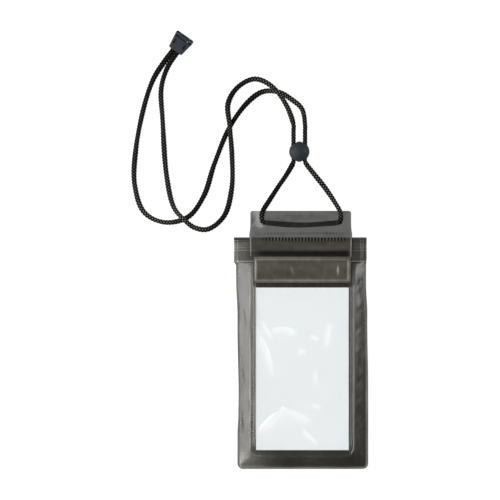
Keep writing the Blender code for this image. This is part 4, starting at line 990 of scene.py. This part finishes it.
def flap_tone(x, y):
    """Tone of the flap: painted highlights on the patch's rim and edges, the tab's edges and
    the zip's ribs, painted shade in the valley below the zip and in the pressed ticks, a faint
    second row of dark dots, and painted glints on the patch."""
    on_patch = (y < PATCH_TOP_Y) * 1.0
    inward = patch_inset(x, y)
    # Painted highlights on the patch's raised rim and along its edge
    rim = RIM_PAINTED_HIGHLIGHT * bump_at(inward, RIM_INSET, RIM_WIDTH) + PATCH_EDGE_PAINTED_HIGHLIGHT * bump_at(inward, 0.0, 0.0004)
    # Painted highlight along the tab's edges
    tab_edge_highlight = bump_at(TAB_HALF - np.abs(x), 0.0002, 0.0005)
    tone = rim * on_patch + (1 - on_patch) * TAB_EDGE_PAINTED_HIGHLIGHT * tab_edge_highlight
    low_edge = VALLEY[0] + 0.0004 * waves(x, 0 * y, 51, 0.05, 5)
    # Painted shade in the valley where the flap dips below the zip
    valley = ease(y, low_edge, low_edge + 0.0012) * (1 - ease(y, VALLEY[1] - 0.0030, VALLEY[1] + 0.0014))
    valley = valley * ease(x, -0.0385, -0.0270) * (1 - ease(x, 0.0362, 0.0392))
    tone = tone - VALLEY_PAINTED_SHADE * valley
    # Painted highlights on the zip's ribs seen through the flap
    tone = tone + sum(FLAP_RIB_PAINTED_HIGHLIGHT * bump_at(y, rib, RIB_WIDTH) for rib in STRIP_RIBS)
    row = bump_at(y, KNURL_Y, KNURL_HEIGHT)
    # Painted shade in the pressed ticks of the welding bar
    tone = tone + ROW_TONE * row * row_span(x) - TICK_PAINTED_SHADE * pressed_row(x) * row
    tone = tone - DOT_TONE * pressed_row(x + KNURL_PITCH / 2) * bump_at(y, DOT_Y, DOT_HEIGHT)
    glint = GLINT_TONE * bump_at(x, GLINT_X, 0.0008) * bump_at(y, GLINT_Y, 0.0040)
    slanted = x + 0.3 * (y - GLINT_Y)
    glint = glint + DIM_GLINT_TONE * bump_at(slanted, DIM_GLINT_X, 0.0012) * bump_at(y, GLINT_Y, 0.0036)
    backed = BACKED_TONE * (1 - ease(y, 0.0815, 0.0830)) + PATCH_TONE * on_patch
    return tone + glint * on_patch + backed + FLAP_CLOUD_TONE * waves(x * 0.8, y * 1.6, 52, 0.03)


def flap_relief(x, y):
    """Relief of the flap: a bulge over the zip, a raised rim and a sunk field on the patch,
    pressed ticks along the fold, and a slow wave of the loose film."""
    bulge = BULGE_RISE * ease(y, 0.0672, 0.0724) * (1 - ease(y, 0.0774, 0.0835))
    inward = patch_inset(x, y)
    on_patch = y < PATCH_TOP_Y
    rim = RIM_RISE * bump_at(inward, RIM_INSET, RIM_WIDTH) * on_patch
    field = 0.00008 * waves(x, y, 21, 0.02) * ease(inward, 0.002, 0.005) * on_patch
    glint = 0.00040 * bump_at(x, GLINT_X, 0.0009) * bump_at(y, GLINT_Y, 0.004) * on_patch
    ticks = -KNURL_DEPTH * pressed_row(x) * bump_at(y, KNURL_Y, KNURL_HEIGHT)
    loose = 0.00030 * waves(x, y * 1.4, 33, 0.05) - CURL_RISE * ease(-x, 0.026, 0.041)
    loose = loose * ease(y, 0.086, 0.092)
    return bulge + rim + field + glint + ticks + loose


def oval_punch(x, y, lean):
    """Upright oval cutter, long the way that the cord slants through the film."""
    heights = np.array([-PUNCH_REACH, PUNCH_REACH])
    punch = turned("punch", np.ones(2), heights, PUNCH_SIDES, (0.0, 0.0, 0.0))
    scale = Matrix.Diagonal((HOLE_LONG, HOLE_SHORT, 1.0, 1.0))
    turn = Matrix.Rotation(math.radians(lean), 4, "Z")
    punch.data.transform(Matrix.Translation((x, y, TAB_RISE + FILM / 2)) @ turn @ scale)
    return punch


def build_flap():
    """The flap's grid from its low edge up to the tab's end, walled, with its cord holes."""
    foot, head = flap_low.y + FLAP_CORNER, flap_high.y - FLAP_CORNER
    y = stations((flap_low.y, foot, 6), (foot, PATCH_TOP_Y, 64), (PATCH_TOP_Y, 0.0785, 24),
                 (0.0785, 0.0835, 30), (0.0835, head, 40), (head, flap_high.y, 6))
    columns = np.linspace(-1.0, 1.0, FLAP_COLUMNS)
    corner_low = np.clip((FLAP_CORNER - (y - flap_low.y)) / FLAP_CORNER, 0, 1)
    corner_high = np.clip((FLAP_CORNER - (flap_high.y - y)) / FLAP_CORNER, 0, 1)
    drawn_in = FLAP_CORNER * (2 - np.sqrt(1 - corner_low**2) - np.sqrt(1 - corner_high**2))
    onto = ease(y, SHOULDER_Y - 0.001, SHOULDER_Y + 0.001)
    flare = TAB_FLARE * bump_at(y, 0.0834, 0.0050)
    half = FLAP_HALF + (TAB_HALF - FLAP_HALF) * onto - drawn_in + flare
    centre = body_x * (1 - onto)
    x = centre[:, None] + columns[None, :] * half[:, None]
    rows_y = np.repeat(y[:, None], len(columns), 1)
    drop = (FLAP_RISE - TAB_RISE) * ease(y, DROP_Y, DROP_Y + TAB_SLOPE)
    level = FLAP_RISE + FILM / 2 - drop[:, None] + flap_relief(x, rows_y)
    points = np.stack([x, rows_y, level], -1)
    keep = np.ones((len(y) - 1, len(columns) - 1), bool)
    flap = walled("flap_sheet", points, keep, FILM, flap_tone(x, rows_y))
    flap = applied(flap, [oval_punch(*hole) for hole in HOLES])
    flap.data.shade_smooth()
    flap.data.set_sharp_from_angle(angle=FILM_SHARP)
    return flap


flap = build_flap()
coat(flap, smoke_film(
    "smoke_vinyl_flap", dark=(0.0060, 0.0054, 0.0042), light=(0.0096, 0.0088, 0.0071),
    smooth=0.26, rough=0.32, alpha=0.665, pale_from=1.4,
))
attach(flap, "pouch")
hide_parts("closure_flap")


# Press zip: two extruded vinyl profiles, headed ribs below and jaws above, welded inside
# the folded films; only their ends show at the strip's open sides
zip_vinyl = grained(
    "zip_vinyl", size=0.0008, depth=0.00001, dark=(0.040, 0.038, 0.034), light=(0.065, 0.062, 0.057),
    smooth=0.35, rough=0.5,
)
for name in ("zip_track_male", "zip_track_female"):
    coat(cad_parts[name], zip_vinyl)


# Hook and loop tape: black nylon, stiff hooks on the flap's piece and felted loops on the
# pouch's; both lie flat, and show only as the dark field behind the flap's film
def tape_material(name, dark, light, pitch, depth):
    """Nylon pile: a small cell for each hook or loop, dark between them, fully matte."""
    made, tree, shader = principled(name, Roughness=0.9)
    where = node(tree, "ShaderNodeTexCoord").outputs["Object"]
    cells = node(tree, "ShaderNodeTexVoronoi", {"Vector": where, "Scale": 1.0 / pitch, "Randomness": 0.7})
    from_middle = {0: cells.outputs["Distance"], 1: 0.1, 2: 0.6, 3: 1.0, 4: 0.0}
    mask = node(tree, "ShaderNodeMapRange", from_middle).outputs[0]
    bump = node(tree, "ShaderNodeBump", {"Distance": depth, "Height": mask})
    tree.links.new(colour_mix(tree, mask, (*dark, 1.0), (*light, 1.0)), shader.inputs["Base Color"])
    tree.links.new(bump.outputs[0], shader.inputs["Normal"])
    return made


coat(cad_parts["hook_pad"], tape_material(
    "hook_nylon", dark=(0.008, 0.008, 0.008), light=(0.045, 0.045, 0.044), pitch=0.0011, depth=0.0004,
))
coat(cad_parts["loop_pad"], tape_material(
    "loop_nylon", dark=(0.010, 0.010, 0.010), light=(0.035, 0.035, 0.034), pitch=0.0006, depth=0.0002,
))
